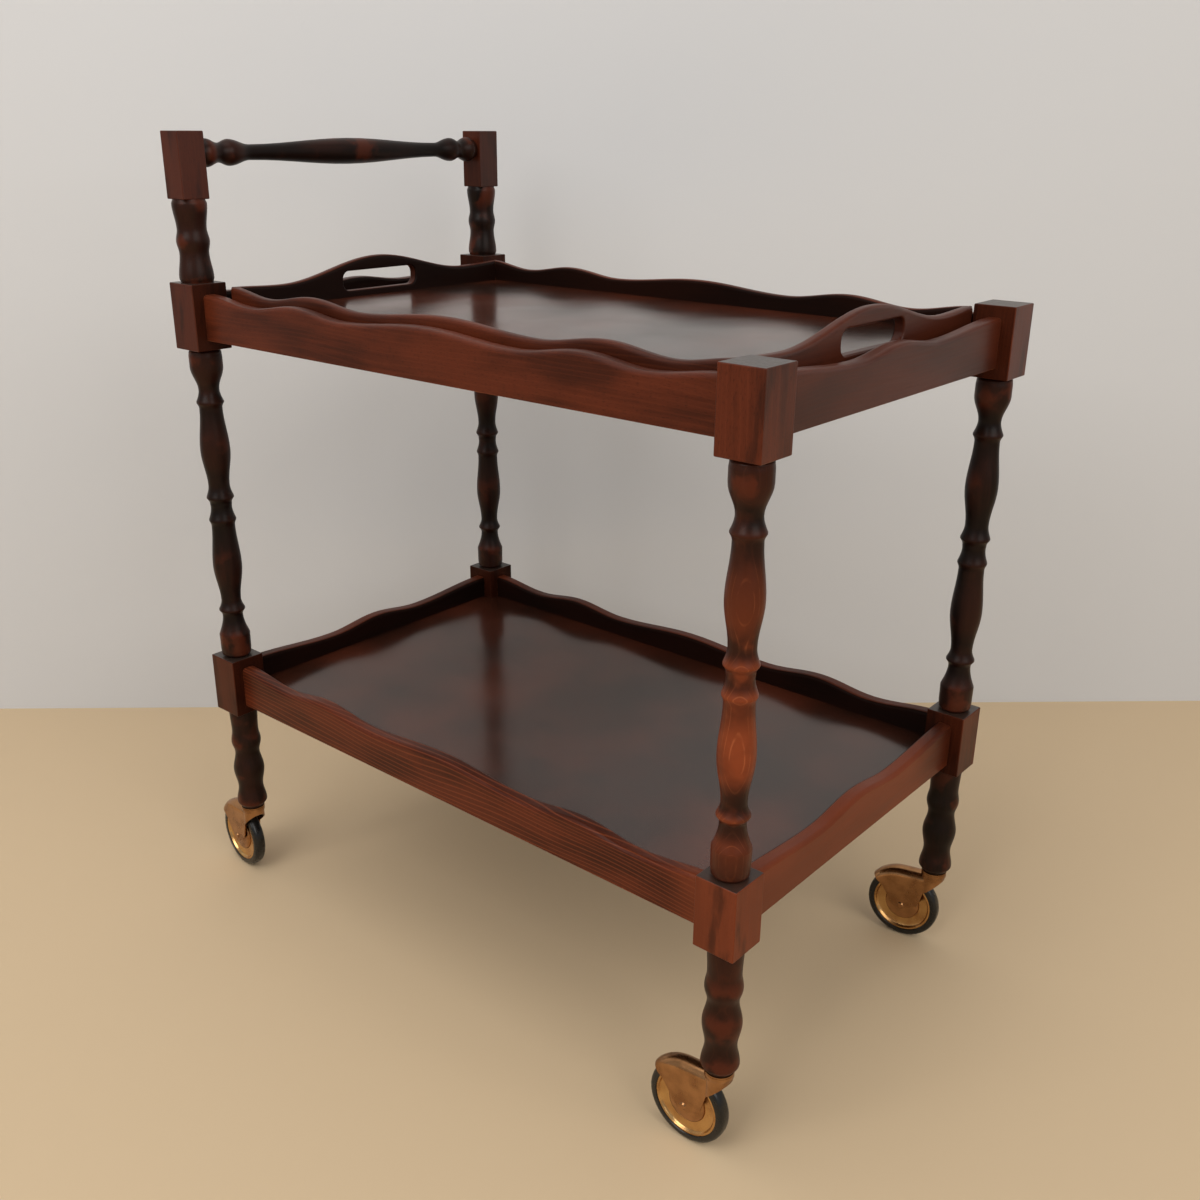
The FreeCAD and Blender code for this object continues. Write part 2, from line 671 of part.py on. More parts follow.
def fork(label):
    """A pressed castor fork: a rounded hood over two cheeks, joined to the swivel cup.

    The leg's axis is at x = 0, and the wheel's axle lies at x = castor_trail.
    """
    hub = ("castor_trail", AXLE_Z)
    foot_z = f"({AXLE_Z} + wheel_dia / 2 * {CUP_FOOT_SHARE})"
    top = f"({COLLAR_TOP_Z} - collar_rim)"
    lobe_below = about_axle("lobe_radius", (LOBE_BACK_ANGLE + LOBE_FRONT_ANGLE) / 2)
    tip = about_axle("hood_radius", HOOD_TIP_ANGLE)
    outer = [("line", "cheek_seam", top), ("line", *hood_top("hood_radius", "cheek_seam", top)),
             ("arc", *tip, *hub), ("line", *from_axle(CHEEK_BACK_SHARES)),
             ("line", *about_axle("lobe_radius", LOBE_BACK_ANGLE)), ("arc", *lobe_below, *hub),
             ("arc", *about_axle("lobe_radius", LOBE_FRONT_ANGLE), *hub),
             ("line", *from_axle(CHEEK_FRONT_SHARES)), ("line", "cheek_seam", foot_z)]
    inside = "(hood_radius - fork_sheet)"
    open_x, roof = "(cheek_seam - overrun)", f"({top} - fork_sheet)"
    mouth = about_axle(inside, HOOD_MOUTH_ANGLE)
    step = about_axle(f"{inside} * {MOUTH_STEP_SHARE}", HOOD_MOUTH_ANGLE)
    inner = [("line", open_x, roof), ("line", *hood_top(inside, open_x, roof)), ("arc", *mouth, *hub),
             ("line", *step), ("line", step[0], "0"), ("line", open_x, "0")]
    shell = prism(label, "XZ_Plane", outer, "fork_gap + 2 * fork_sheet", symmetric=True)
    hollow = prism(f"{label}_inside", "XZ_Plane", inner, "fork_gap", symmetric=True)
    round_hood(shell, label, "fork_bend", tip[1])
    round_hood(hollow, f"{label}_inside", "fork_bend - fork_sheet", mouth[1])
    whole = doc.addObject("Part::Fuse", f"{label}_joined")
    whole.Base = cut(f"{label}_pressing", shell, [hollow])
    whole.Tool = swivel_cup(label, foot_z)
    stem_hole = rod(f"{label}_stem_hole", "stem_dia", "collar_height + 2 * overrun",
                    z=f"{COLLAR_BOTTOM_Z} - overrun")
    axle_hole = rod(f"{label}_axle_hole", "axle_dia", "fork_gap + 2 * fork_sheet + 2 * overrun", "y",
                    x="castor_trail", y="-fork_gap / 2 - fork_sheet - overrun", z=AXLE_Z)
    return cut(f"{label}_bored", whole, [stem_hole, axle_hole])


def stem(label):
    """The swivel stem, riveted under the collar."""
    head, shank = "stem_head_dia / 2", "stem_dia / 2"
    floor = f"({COLLAR_BOTTOM_Z} - stem_head_height)"
    top = "(castor_height + stem_length)"
    path = [("line", "0", floor), ("line", head, floor), ("line", head, COLLAR_BOTTOM_Z),
            ("line", shank, COLLAR_BOTTOM_Z), ("line", shank, top), ("line", "0", top)]
    return turned(label, "XZ_Plane", path)


def socket(name):
    """The sleeve in the bottom of a foot that the stem runs in, with its flange below the wood."""
    bore = "(stem_dia / 2 + running_clearance)"
    sleeve, flange = f"({SOCKET_DIA} / 2)", "(collar_dia / 2)"
    floor, top = "(castor_height - socket_flange)", "(castor_height + socket_length)"
    path = [("line", bore, floor), ("line", flange, floor), ("line", flange, "castor_height"),
            ("line", sleeve, "castor_height"), ("line", sleeve, top), ("line", bore, top)]
    return turned(name, "XZ_Plane", path)


def axle(label):
    """The wheel's axle, with a rivet head outside each cheek."""
    pin, head = "axle_dia / 2", "rivet_head_dia / 2"
    tip = f"rivet_head_dia / 2 * {RIVET_TIP_SHARE}"
    cheek = "(fork_gap / 2 + fork_sheet)"
    end = f"({cheek} + rivet_head_height)"
    path = [("line", "0", f"-{end}"), ("line", tip, f"-{end}"), ("line", head, f"-{cheek}"),
            ("line", pin, f"-{cheek}"), ("line", pin, cheek), ("line", head, cheek), ("line", tip, end),
            ("line", "0", end)]
    return turned(label, "XY_Plane", path)


def wheel_disc(label):
    """The pressed metal wheel: a boss, a raised hub, a sunk web and a rolled rim bead."""
    rim = "(wheel_dia / 2 - tyre_depth)"
    boss = "(fork_gap / 2 - side_play)"
    hub = "(disc_hub_width / 2)"
    web = "(disc_web_width / 2)"
    bead = "(disc_bead_width / 2)"
    half = [("axle_dia / 2 + running_clearance", boss), (f"disc_boss_dia / 2 * {BOSS_TIP_SHARE}", boss),
            ("disc_boss_dia / 2", hub), (f"disc_hub_dia / 2 * {HUB_TIP_SHARE}", hub),
            ("disc_hub_dia / 2", web), (f"{rim} - disc_bead_depth", web),
            (f"{rim} - disc_bead_depth * {BEAD_TIP_SHARE}", bead), (rim, bead)]
    path = [("line", x, f"-{y}") for x, y in half] + [("line", x, y) for x, y in reversed(half)]
    return turned(label, "XY_Plane", path)


def tyre(label):
    """The rubber tyre, with rounded shoulders."""
    inner, outer = "(wheel_dia / 2 - tyre_depth)", "(wheel_dia / 2)"
    side, tread, shoulder = "(tyre_width / 2)", "(tyre_width / 2 - tyre_round)", f"({outer} - tyre_round)"
    path = [("line", inner, f"-{side}"), ("line", shoulder, f"-{side}"),
            ("arc", outer, f"-{tread}", shoulder, f"-{tread}"), ("line", outer, tread),
            ("arc", shoulder, side, shoulder, tread), ("line", inner, side)]
    return turned(label, "XY_Plane", path)


def rail_dowels(name, floor):
    """All the dowels of one tier, half in the blocks and half in the rail ends."""
    dowels = []
    face = "block_side / 2"
    for corner, (sx, sy) in CORNERS.items():
        for step in range(2):
            z = f"{floor} + rail_rise + dowel_rise + {step} * dowel_pitch"
            x, y = f"{sx} * {LEG_X}", f"{sy} * {LEG_Y}"
            dowels.append(rod(f"{name}_{corner}_along_{step}", "dowel_dia", "dowel_length", "x",
                              x=f"{x} - {sx} * {face} - dowel_length / 2", y=y, z=z))
            dowels.append(rod(f"{name}_{corner}_across_{step}", "dowel_dia", "dowel_length", "y",
                              x=x, y=f"{y} - {sy} * {face} - dowel_length / 2", z=z))
    return group(name, dowels)


def build_frame():
    """Blocks, turnings and rails of both tiers, and the push bar."""
    for corner, (sx, sy) in CORNERS.items():
        where = {"x": f"{sx} * {LEG_X}", "y": f"{sy} * {LEG_Y}"}
        lower = f"{corner}_lower_block"
        upper = f"{corner}_upper_block"
        lower_bores = [tenon_bore(f"{lower}_foot_bore"), tenon_bore(f"{lower}_leg_bore", "block_height")]
        upper_bores = [tenon_bore(f"{upper}_leg_bore")]
        if sx < 0:
            upper_bores.append(tenon_bore(f"{upper}_post_bore", "block_height"))
        keep(lower, corner_block(lower, sx, sy, lower_bores), **where, z=LOWER_BLOCK_Z)
        keep(upper, corner_block(upper, sx, sy, upper_bores), **where, z=UPPER_BLOCK_Z)
        keep(f"{corner}_leg", leg(f"{corner}_leg"), **where, z=f"{LOWER_BLOCK_Z} + block_height")
        keep(f"{corner}_foot", foot(f"{corner}_foot"), **where, z="castor_height")
        if sx < 0:
            post, top = f"{corner}_handle_post", f"{corner}_handle_block"
            keep(post, handle_post(post), **where, z=f"{UPPER_BLOCK_Z} + block_height")
            keep(top, handle_block(top, sy), **where, z=HANDLE_BLOCK_Z)
    bar_z = f"{HANDLE_BLOCK_Z} + handle_block_height - bar_drop"
    keep("push_bar", push_bar("push_bar"), x=f"-{LEG_X}", z=bar_z)
    for tier, floor in (("lower", LOWER_BLOCK_Z), ("upper", UPPER_BLOCK_Z)):
        z = f"{floor} + rail_rise"
        for side, sign, turn in (("left", 1, 180), ("right", -1, 0)):
            label = f"{tier}_{side}_rail"
            keep(label, rail(label, "leg_spacing_along", LONG_RAIL_SHARES),
                 y=f"{sign} * {LEG_Y}", z=z, turn=turn)
        for side, sign, turn in (("front", 1, 90), ("rear", -1, -90)):
            label = f"{tier}_{side}_rail"
            keep(label, rail(label, "leg_spacing_across", SHORT_RAIL_SHARES),
                 x=f"{sign} * {LEG_X}", z=z, turn=turn)
        keep(f"{tier}_rail_dowels", rail_dowels(f"{tier}_dowels", floor))
    keep("lower_shelf", notched_panel("lower_shelf"), z=f"{LOWER_BLOCK_Z} + rail_rise + shelf_rise")


def build_ledgers():
    """The two strips that carry the tray, and the countersunk screws that hold them."""
    strips, screws = [], []
    face = f"({LEG_Y} - rail_thickness / 2)"
    floor = f"({UPPER_BLOCK_Z} + rail_rise + ledger_rise)"
    for side, sign in (("left", 1), ("right", -1)):
        drills = []
        for index, share in enumerate(SCREW_SHARES):
            name = f"{side}_ledger_screw_{index}"
            shank = "screw_dia / 2"
            path = [("line", "0", "0"), ("line", "screw_head_dia / 2", "0"),
                    ("line", shank, "screw_head_depth"), ("line", shank, "screw_length"),
                    ("line", "0", "screw_length")]
            spot = {"x": f"{LEDGER_LENGTH} / 2 * {share}", "y": f"{sign} * ({face} - ledger_side)",
                    "z": f"{floor} + ledger_side / 2"}
            turn = 0 if sign > 0 else 180
            screw, drill = turned(name, "XY_Plane", path), turned(f"{name}_hole", "XY_Plane", path)
            place(screw, **spot, turn=turn)
            place(drill, **spot, turn=turn)
            screws.append(screw)
            drills.append(drill)
        strip = slab(f"{side}_ledger_strip", LEDGER_LENGTH, "ledger_side", "ledger_side",
                     y=f"{sign} * ({face} - ledger_side / 2)", z=floor)
        strips.append(cut(f"{side}_ledger", strip, drills))
    keep("tray_ledgers", group("ledgers", strips))
    keep("ledger_screws", group("screws", screws))


def build_tray():
    """The loose tray, which rests on the ledger strips between the blocks."""
    for side, sign, turn in (("left", 1, 180), ("right", -1, 0)):
        label = f"tray_{side}_side"
        keep(label, tray_side(label), x=TRAY_X, y=f"{sign} * {TRAY_WIDTH} / 2", z=TRAY_Z, turn=turn)
    for side, sign, turn in (("front", 1, 90), ("rear", -1, -90)):
        label = f"tray_{side}_end"
        keep(label, tray_end(label), x=f"{TRAY_X} + {sign} * {TRAY_LENGTH} / 2", z=TRAY_Z, turn=turn)
    inset = "2 * (tray_wall - tray_groove + panel_gap)"
    outline = rectangle(f"({TRAY_LENGTH} - {inset})", f"({TRAY_WIDTH} - {inset})")
    panel = prism("tray_floor", "XY_Plane", outline, "tray_floor_thickness")
    keep("tray_floor", panel, x=TRAY_X, z=f"{TRAY_Z} + tray_floor_rise")


def build_castors():
    """Four castors, each trailing its own way."""
    sockets = []
    for corner, (sx, sy) in CORNERS.items():
        swing = f"{corner}_swing_angle"
        turn = value(swing)
        x, y = f"{sx} * {LEG_X}", f"{sy} * {LEG_Y}"
        axle_x = f"{x} + castor_trail * cos({swing} * 1 deg)"
        axle_y = f"{y} + castor_trail * sin({swing} * 1 deg)"
        for name, make in (("castor_fork", fork), ("castor_stem", stem)):
            label = f"{corner}_{name}"
            keep(label, make(label), x=x, y=y, turn=turn)
        for name, make in (("castor_axle", axle), ("wheel_disc", wheel_disc), ("tyre", tyre)):
            label = f"{corner}_{name}"
            keep(label, make(label), x=axle_x, y=axle_y, z=AXLE_Z, turn=turn)
        sleeve = socket(f"{corner}_socket")
        place(sleeve, x, y)
        sockets.append(sleeve)
    keep("castor_sockets", group("sockets", sockets))


def check_and_export():
    """Stop on any failed object or bad solid, and write one file for each piece."""
    doc.recompute()
    for thing in doc.Objects:
        if "Invalid" in thing.State or "Error" in thing.State:
            raise RuntimeError(f"{thing.Label} failed: {thing.State}")
    for piece in pieces:
        if piece.Shape.isNull() or not piece.Shape.isValid() or not piece.Shape.Solids:
            raise RuntimeError(f"{piece.Label} has no valid solid")
    os.makedirs("parts", exist_ok=True)
    for piece in pieces:
        piece.Shape.exportStep(f"parts/{piece.Label}.step")
    print(f"{len(pieces)} pieces written")


build_frame()
build_ledgers()
build_tray()
build_castors()
check_and_export()
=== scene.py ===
# %% [markdown]
# # A two-tier serving trolley in stained beech
# The trolley is a turned beech frame on brass castors, with a wavy shelf below and a loose tray on top. Its
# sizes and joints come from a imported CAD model, the frame. We could model everything from nothing, but then
# each piece would have to be fitted by eye. Loading the frame first gives every piece its place, in metres,
# so this lesson can spend its time on rounder forms and on finishes.

# %% Load the frame
import json
import math

import bpy
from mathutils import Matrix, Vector


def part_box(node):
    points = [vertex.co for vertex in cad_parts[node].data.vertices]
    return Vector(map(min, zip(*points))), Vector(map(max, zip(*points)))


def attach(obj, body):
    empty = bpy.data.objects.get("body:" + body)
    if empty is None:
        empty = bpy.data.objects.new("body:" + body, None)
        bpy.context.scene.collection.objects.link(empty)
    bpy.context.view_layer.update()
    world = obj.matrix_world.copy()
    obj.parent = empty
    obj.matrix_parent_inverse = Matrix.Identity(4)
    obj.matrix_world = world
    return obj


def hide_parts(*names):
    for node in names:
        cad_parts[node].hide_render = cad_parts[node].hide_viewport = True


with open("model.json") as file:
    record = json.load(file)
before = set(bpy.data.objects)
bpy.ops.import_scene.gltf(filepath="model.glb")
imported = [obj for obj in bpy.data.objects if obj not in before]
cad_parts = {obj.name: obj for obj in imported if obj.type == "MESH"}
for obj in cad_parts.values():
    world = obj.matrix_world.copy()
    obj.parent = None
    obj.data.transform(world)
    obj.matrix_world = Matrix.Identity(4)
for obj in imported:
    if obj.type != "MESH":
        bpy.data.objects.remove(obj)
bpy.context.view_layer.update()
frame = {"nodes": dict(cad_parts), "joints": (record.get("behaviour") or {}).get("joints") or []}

CORNERS = ("front_left", "front_right", "rear_left", "rear_right")
MM = 0.001

# %% [markdown]
# # The camera
# The photograph was taken from above the front right corner, with the camera a little off level. It could
# be aimed with a constraint, but a fixed place and turn are easier to check against the picture. The small
# shifts put the trolley where it stands in the picture's square frame.

# %% Place the camera
CAMERA_PLACE = (0.76175, -0.87451, 0.80179)
CAMERA_TURN = (68.7527, -0.2666, 40.7464)
SENSOR_WIDTH_MM = 36
LENS_MM = 37.117
LENS_SHIFT = (0.01028, 0.00669)
bpy.ops.object.select_all(action="DESELECT")
bpy.ops.object.camera_add(location=CAMERA_PLACE, rotation=[math.radians(angle) for angle in CAMERA_TURN])
camera = bpy.context.object
camera.data.sensor_width = SENSOR_WIDTH_MM
camera.data.lens = LENS_MM
camera.data.shift_x, camera.data.shift_y = LENS_SHIFT
bpy.context.scene.camera = camera
bpy.context.scene.view_settings.view_transform = "Standard"
print("camera stands", round(camera.location.length, 3), "m from the middle of the floor")

# %% [markdown]
# # Small helpers for node materials
# A material is a graph of nodes, and writing each node by hand takes many lines. One helper adds a node,
# sets its options and fills its sockets: a socket that is handed another node's output is linked, and a
# plain number or colour is written in. Colours are written as a paint chart gives them, from 0 to 255, and
# turned into the linear values that the renderer works with.

# %% Helpers for nodes and colours
def tone(red, green, blue):
    """A chart colour as linear red, green, blue and alpha."""
    def linear(part):
        share = part / 255
        return share / 12.92 if share <= 0.04045 else ((share + 0.055) / 1.055) ** 2.4
    return (linear(red), linear(green), linear(blue), 1.0)


def fill(tree, node, sockets):
    """Link the sockets that are handed an output, and write the plain values into the others."""
    for socket, what in sockets.items():
        if isinstance(what, bpy.types.NodeSocket):
            tree.links.new(what, node.inputs[socket])
        else:
            node.inputs[socket].default_value = what


def put(tree, kind, sockets=None, **options):
    """Add a node, set its options, and link or fill its sockets."""
    node = tree.nodes.new("ShaderNode" + kind)
    for option, choice in options.items():
        setattr(node, option, choice)
    fill(tree, node, sockets or {})
    return node


def new_material(name):
    """An empty node material with its shader, and the tree to build in."""
    material = bpy.data.materials.new(name)
    material.use_nodes = True
    tree = material.node_tree
    tree.nodes.clear()
    shader = put(tree, "BsdfPrincipled")
    put(tree, "OutputMaterial", {"Surface": shader.outputs[0]})
    return material, tree, shader


print("a middle grey is", round(tone(128, 128, 128)[0], 3), "in linear light")

# %% [markdown]
# # Masks and noise
# Every finish below is made of a few moves: noise says where, a fade turns it into a soft mask, and one
# colour is laid over another through that mask. Whole groups could be copied from material to material,
# but a short name for each move keeps the recipes readable. Object coordinates fix a pattern to the piece.

# %% Helpers for masks
def object_place(tree):
    """The place of a point on the piece, in metres."""
    return put(tree, "TexCoord").outputs["Object"]


def maths(tree, operation, *parts):
    """The result of a Math node on numbers or sockets."""
    return put(tree, "Math", dict(enumerate(parts)), operation=operation).outputs[0]


def times(tree, one, other):
    """The product of two masks, or a mask at part of its strength."""
    return maths(tree, "MULTIPLY", one, other)


def lay(tree, under, over, mask, share=None):
    """One colour laid over another through a mask, in full or at a share of its strength."""
    if share is not None:
        mask = times(tree, mask, share)
    return put(tree, "Mix", {0: mask, 6: under, 7: over}, data_type="RGBA").outputs[2]


def fade(tree, what, low, high):
    """A smooth mask: 0 where the value is at low, 1 where it is at high."""
    node = put(tree, "MapRange", {"Value": what, "From Min": low, "From Max": high},
               interpolation_type="SMOOTHSTEP")
    return node.outputs[0]


def spread(tree, what, low, high, start=0.0, end=1.0):
    """A value that runs from start to end, spread from low to high."""
    node = put(tree, "MapRange", {"Value": what, "From Min": start, "From Max": end,
                                  "To Min": low, "To Max": high})
    return node.outputs[0]


def noise(tree, place, scale, detail, roughness=0.5):
    """Plain noise with so many waves in a metre."""
    node = put(tree, "TexNoise", {"Vector": place, "Scale": scale, "Detail": detail, "Roughness": roughness})
    return node.outputs["Fac"]


def dot(tree, one, other):
    """The dot product of two vectors."""
    return put(tree, "VectorMath", {0: one, 1: other}, operation="DOT_PRODUCT").outputs["Value"]


def raised(tree, height, strength, distance):
    """The normal of a surface that a height makes a little uneven."""
    return put(tree, "Bump", {"Strength": strength, "Distance": distance, "Height": height}).outputs[0]


def region(tree, vector, limits):
    """1 in one part of space, or for one way of facing. Each axis fades in between its two limits."""
    mask = None
    for axis, socket in zip("xyz", put(tree, "SeparateXYZ", {0: vector}).outputs):
        if axis in limits:
            edge = fade(tree, socket, *limits[axis])
            mask = edge if mask is None else times(tree, mask, edge)
    return mask


print("masks ready: fade, spread, noise and region")

# %% [markdown]
# # Floor and wall
# The trolley stands in front of a pale wall. A single big plane would do for a floor, but the dark panels
# are glossy and mirror what stands behind them, so the wall is a second plane at its real distance. The
# back face of each lets the camera through, so that a view from behind or below isn't blocked.

# %% Make the floor and the wall
WALL_POINT = Vector((-0.31, 0.40, 0.0))
WALL_NORMAL = Vector((0.671, -0.741, 0.0)).normalized()
STAGE_SIZE = 9.0
STAGE_CELLS = 8
STAGE_ROUGH = 0.7


def stage_finish(name, colour):
    """A matt painted surface that only shows its front to the camera."""
    material, tree, shader = new_material(name)
    fill(tree, shader, {"Base Color": colour, "Roughness": STAGE_ROUGH})
    clear = put(tree, "BsdfTransparent")
    side = put(tree, "NewGeometry").outputs["Backfacing"]
    mixed = put(tree, "MixShader", {0: side, 1: shader.outputs[0], 2: clear.outputs[0]})
    tree.links.new(mixed.outputs[0], tree.nodes["Material Output"].inputs["Surface"])
    return material


def stage_plane(name, place, turn, colour):
    """One large painted plane."""
    bpy.ops.object.select_all(action="DESELECT")
    bpy.ops.mesh.primitive_grid_add(x_subdivisions=STAGE_CELLS, y_subdivisions=STAGE_CELLS, size=STAGE_SIZE,
                                    location=place, rotation=turn)
    plane = bpy.context.object
    plane.name = name
    plane.data.materials.append(stage_finish(f"pale_{name}", colour))
    return plane


floor = stage_plane("floor", (0, 0, 0), (0, 0, 0), tone(206, 182, 148))
wall = stage_plane("wall", WALL_POINT, WALL_NORMAL.to_track_quat("Z", "X").to_euler(), tone(211, 212, 214))
print("floor and wall, each", STAGE_SIZE, "m wide")

# %% [markdown]
# # Soft light
# The room is lit softly from above and behind the camera. A sun lamp would draw hard shadows, so three
# large area lamps are used, over an even grey world. An even world alone would also be soft, but it would
# lie as a pale haze on every varnished face. Lamps leave long gentle highlights on the turned legs instead,
# which tell the eye that the varnish is glossy.

# %% Set the lights
TROLLEY_MIDDLE = (0, 0, 0.45)
UPPER_TIER_REAR = (-0.1, 0.3, 0.6)
ROOM_COLOUR = (1.0, 0.985, 0.965, 1.0)
ROOM_STRENGTH = 0.4


def soft_lamp(name, place, aim, width, watts, colour):
    """A square area lamp that faces a point."""
    bpy.ops.object.select_all(action="DESELECT")
    turn = (Vector(aim) - Vector(place)).to_track_quat("-Z", "Y").to_euler()
    bpy.ops.object.light_add(type="AREA", location=place, rotation=turn)
    lamp = bpy.context.object
    lamp.name = name
    lamp.data.size = width
    lamp.data.energy = watts
    lamp.data.color = colour
    return lamp


lamps = [
    soft_lamp("window_light", place=(0.0, -2.3, 2.1), aim=TROLLEY_MIDDLE, width=1.8, watts=34,
              colour=(1.0, 0.98, 0.95)),
    soft_lamp("room_light", place=(2.2, -0.4, 1.8), aim=TROLLEY_MIDDLE, width=1.8, watts=24,
              colour=(1.0, 0.97, 0.92)),
    soft_lamp("ceiling_light", place=(-0.3, -0.6, 2.9), aim=UPPER_TIER_REAR, width=2.0, watts=18,
              colour=(1.0, 0.98, 0.96)),
]
world = bpy.data.worlds.new("even_room")
bpy.context.scene.world = world
world.use_nodes = True
fill(world.node_tree, world.node_tree.nodes["Background"], {"Color": ROOM_COLOUR, "Strength": ROOM_STRENGTH})
print("lamps:", [(lamp.name, lamp.data.energy) for lamp in lamps])

# %% [markdown]
# # The look of beech, as a shared node group
# Stained beech has four things to see: broad clouds where the stain took unevenly, thin bent lines where
# the saw crossed the growth rings, fine streaks along the grain, and tiny dark pores. A photograph of wood
# could be wrapped on, but it would stretch on the turned legs. Noise that is squeezed across the grain
# works at any place in space, so one group serves all the wood. The lines are layers: a wave across the
# board, bent by slow noise, draws one thin line for each growth ring. The group expects coordinates in
# which the grain runs along X.

# %% Beech figure group
FIGURE_SHIFT = (0.31, 0.17, 0.23)
RING_WAVES = (0.0, 900.0, 1500.0)
RING_BEND = 42.0


def group_tree(name, takes, gives):
    """A new shader node group with its sockets."""
    tree = bpy.data.node_groups.new(name, "ShaderNodeTree")
    for socket, kind in takes.items():
        tree.interface.new_socket(socket, in_out="INPUT", socket_type="NodeSocket" + kind)
    for socket, kind in gives.items():
        tree.interface.new_socket(socket, in_out="OUTPUT", socket_type="NodeSocket" + kind)
    return tree, tree.nodes.new("NodeGroupInput"), tree.nodes.new("NodeGroupOutput")


def squeezed_noise(tree, place, scale, detail):
    """Noise with its own scale along and across the grain."""
    squeeze = put(tree, "Mapping", {"Vector": place, "Location": FIGURE_SHIFT, "Scale": scale})
    return noise(tree, squeeze.outputs[0], 1.0, detail)


def beech_figure():
    """Clouds, growth lines, streaks and pores of beech, each as a mask."""
    gives = dict.fromkeys(("Clouds", "Lines", "Streaks", "Pores"), "Float")
    tree, start, end = group_tree("beech_figure", {"Vector": "Vector"}, gives)
    place = start.outputs["Vector"]
    bent = squeezed_noise(tree, place, (4.0, 22, 22), 1.0)
    layers = maths(tree, "MULTIPLY_ADD", bent, RING_BEND, dot(tree, place, RING_WAVES))
    fill(tree, end, {
        "Clouds": fade(tree, squeezed_noise(tree, place, (7, 26, 26), 3.0), 0.32, 0.68),
        "Lines": fade(tree, maths(tree, "SINE", layers), 0.5, 0.98),
        "Streaks": squeezed_noise(tree, place, (14, 420, 420), 4.0),
        "Pores": fade(tree, squeezed_noise(tree, place, (260, 2200, 2200), 0.0), 0.62, 0.72),
    })
    return tree


BEECH = beech_figure()
print("group", BEECH.name, "has", [socket.name for socket in BEECH.interface.items_tree])

# %% [markdown]
# # Rubbed edges, as a second group
# Years of hands and cloths have worn the stain off the sharp edges, so pale wood shows there. We could
# paint that wear by hand. The Bevel node offers it for nothing: near an edge its rounded normal turns away
# from the true one, and the difference is a mask. Noise then breaks the mask up, because wear is patchy.

# %% Rubbed edge group
EDGE_REACH = 1.0 * MM
EDGE_SAMPLES = 6


def rubbed_edges():
    """A patchy mask of the edges."""
    tree, start, end = group_tree("rubbed_edges", {"Vector": "Vector"}, {"Mask": "Float"})
    rounded = put(tree, "Bevel", {"Radius": EDGE_REACH}, samples=EDGE_SAMPLES).outputs[0]
    true_normal = put(tree, "NewGeometry").outputs["Normal"]
    near_edge = fade(tree, dot(tree, rounded, true_normal), 0.985, 0.86)
    patchy = fade(tree, noise(tree, start.outputs["Vector"], 95.0, 4.0, 0.7), 0.42, 0.66)
    fill(tree, end, {"Mask": times(tree, near_edge, patchy)})
    return tree


RUBBED = rubbed_edges()
print("group", RUBBED.name, "reaches", EDGE_REACH / MM, "mm from an edge")

# %% [markdown]
# # Stain and varnish
# The wood is beech under a red-brown stain and a satin varnish. Colour could be one flat brown, but real
# stain sits deeper in soft wood. So the colour starts from two browns, mixed by clouds and streaks, and the
# pores are darker. The same streaks change the roughness and lift the surface a little, so that a highlight
# breaks up along the grain. Sawn and turned pieces both start from this recipe.

# %% The stain under every wooden finish
# A near-black for dark pores, for polish in the necks, and for painted shade on the inner faces.
GRIME_AND_SHADE = tone(15, 9, 7)
SHEEN = 0.15
GRAIN_TURNS = {"x": (0, 0, 0), "y": (0, 0, math.radians(90)), "z": (0, math.radians(90), 0)}
FIGURE_RELIEF = 0.3 * MM


def stain(name, axis, dark, mid):
    """Material, tree, shader, place, figure and colour of stained beech with its grain along an axis."""
    material, tree, shader = new_material(name)
    place = object_place(tree)
    along = put(tree, "Mapping", {"Vector": place, "Rotation": GRAIN_TURNS[axis]}).outputs[0]
    figure = put(tree, "Group", {"Vector": along}, node_tree=BEECH).outputs
    share = maths(tree, "MULTIPLY_ADD", figure["Streaks"], 0.5, times(tree, figure["Clouds"], 0.55))
    colour = lay(tree, dark, mid, fade(tree, share, 0.1, 0.8))
    colour = lay(tree, colour, GRIME_AND_SHADE, figure["Pores"], share=0.35)
    height = maths(tree, "MULTIPLY_ADD", figure["Pores"], -0.6, figure["Streaks"])
    fill(tree, shader, {
        "Roughness": spread(tree, figure["Streaks"], 0.26, 0.46),
        "Specular IOR Level": SHEEN,
        "Normal": raised(tree, height, 0.08, FIGURE_RELIEF),
    })
    return material, tree, shader, place, figure, colour


print("grain can run along", list(GRAIN_TURNS))

# %% [markdown]
# # The sawn finish
# Years of use show on the rails, the blocks and the tray walls, with some light and shade painted in. The
# near lower rail was cut across the rings, so its lines are strong. The lower front end is painted lighter
# and more orange as painted light, the front of the upper tier is polished, and its end boards and the rear
# blocks are darkened with painted shade. Blocks have smudges along the grain, and the end grain on their tops
# drinks stain and polish, so it is dark and shiny, and it is greyed further as a painted sheen. Last, painted
# shade darkens and dulls the inner faces, and the edges are rubbed. Masks by place and by the way a face
# looks do all this with one material for each grain direction, where painting each piece would need over
# twenty.

# %% Stained beech along each axis
# The dark stain, also used for painted shade on the upper end boards and the rear blocks.
STAIN_AND_SHADE_DARK = tone(56, 23, 12)
STAIN_MID = tone(90, 39, 21)
STAIN_PALE = tone(130, 64, 36)
STAIN_SMUDGE = tone(34, 15, 9)
# Dark end grain, greyed as a painted sheen.
END_GRAIN_AND_SHEEN = tone(40, 34, 29)
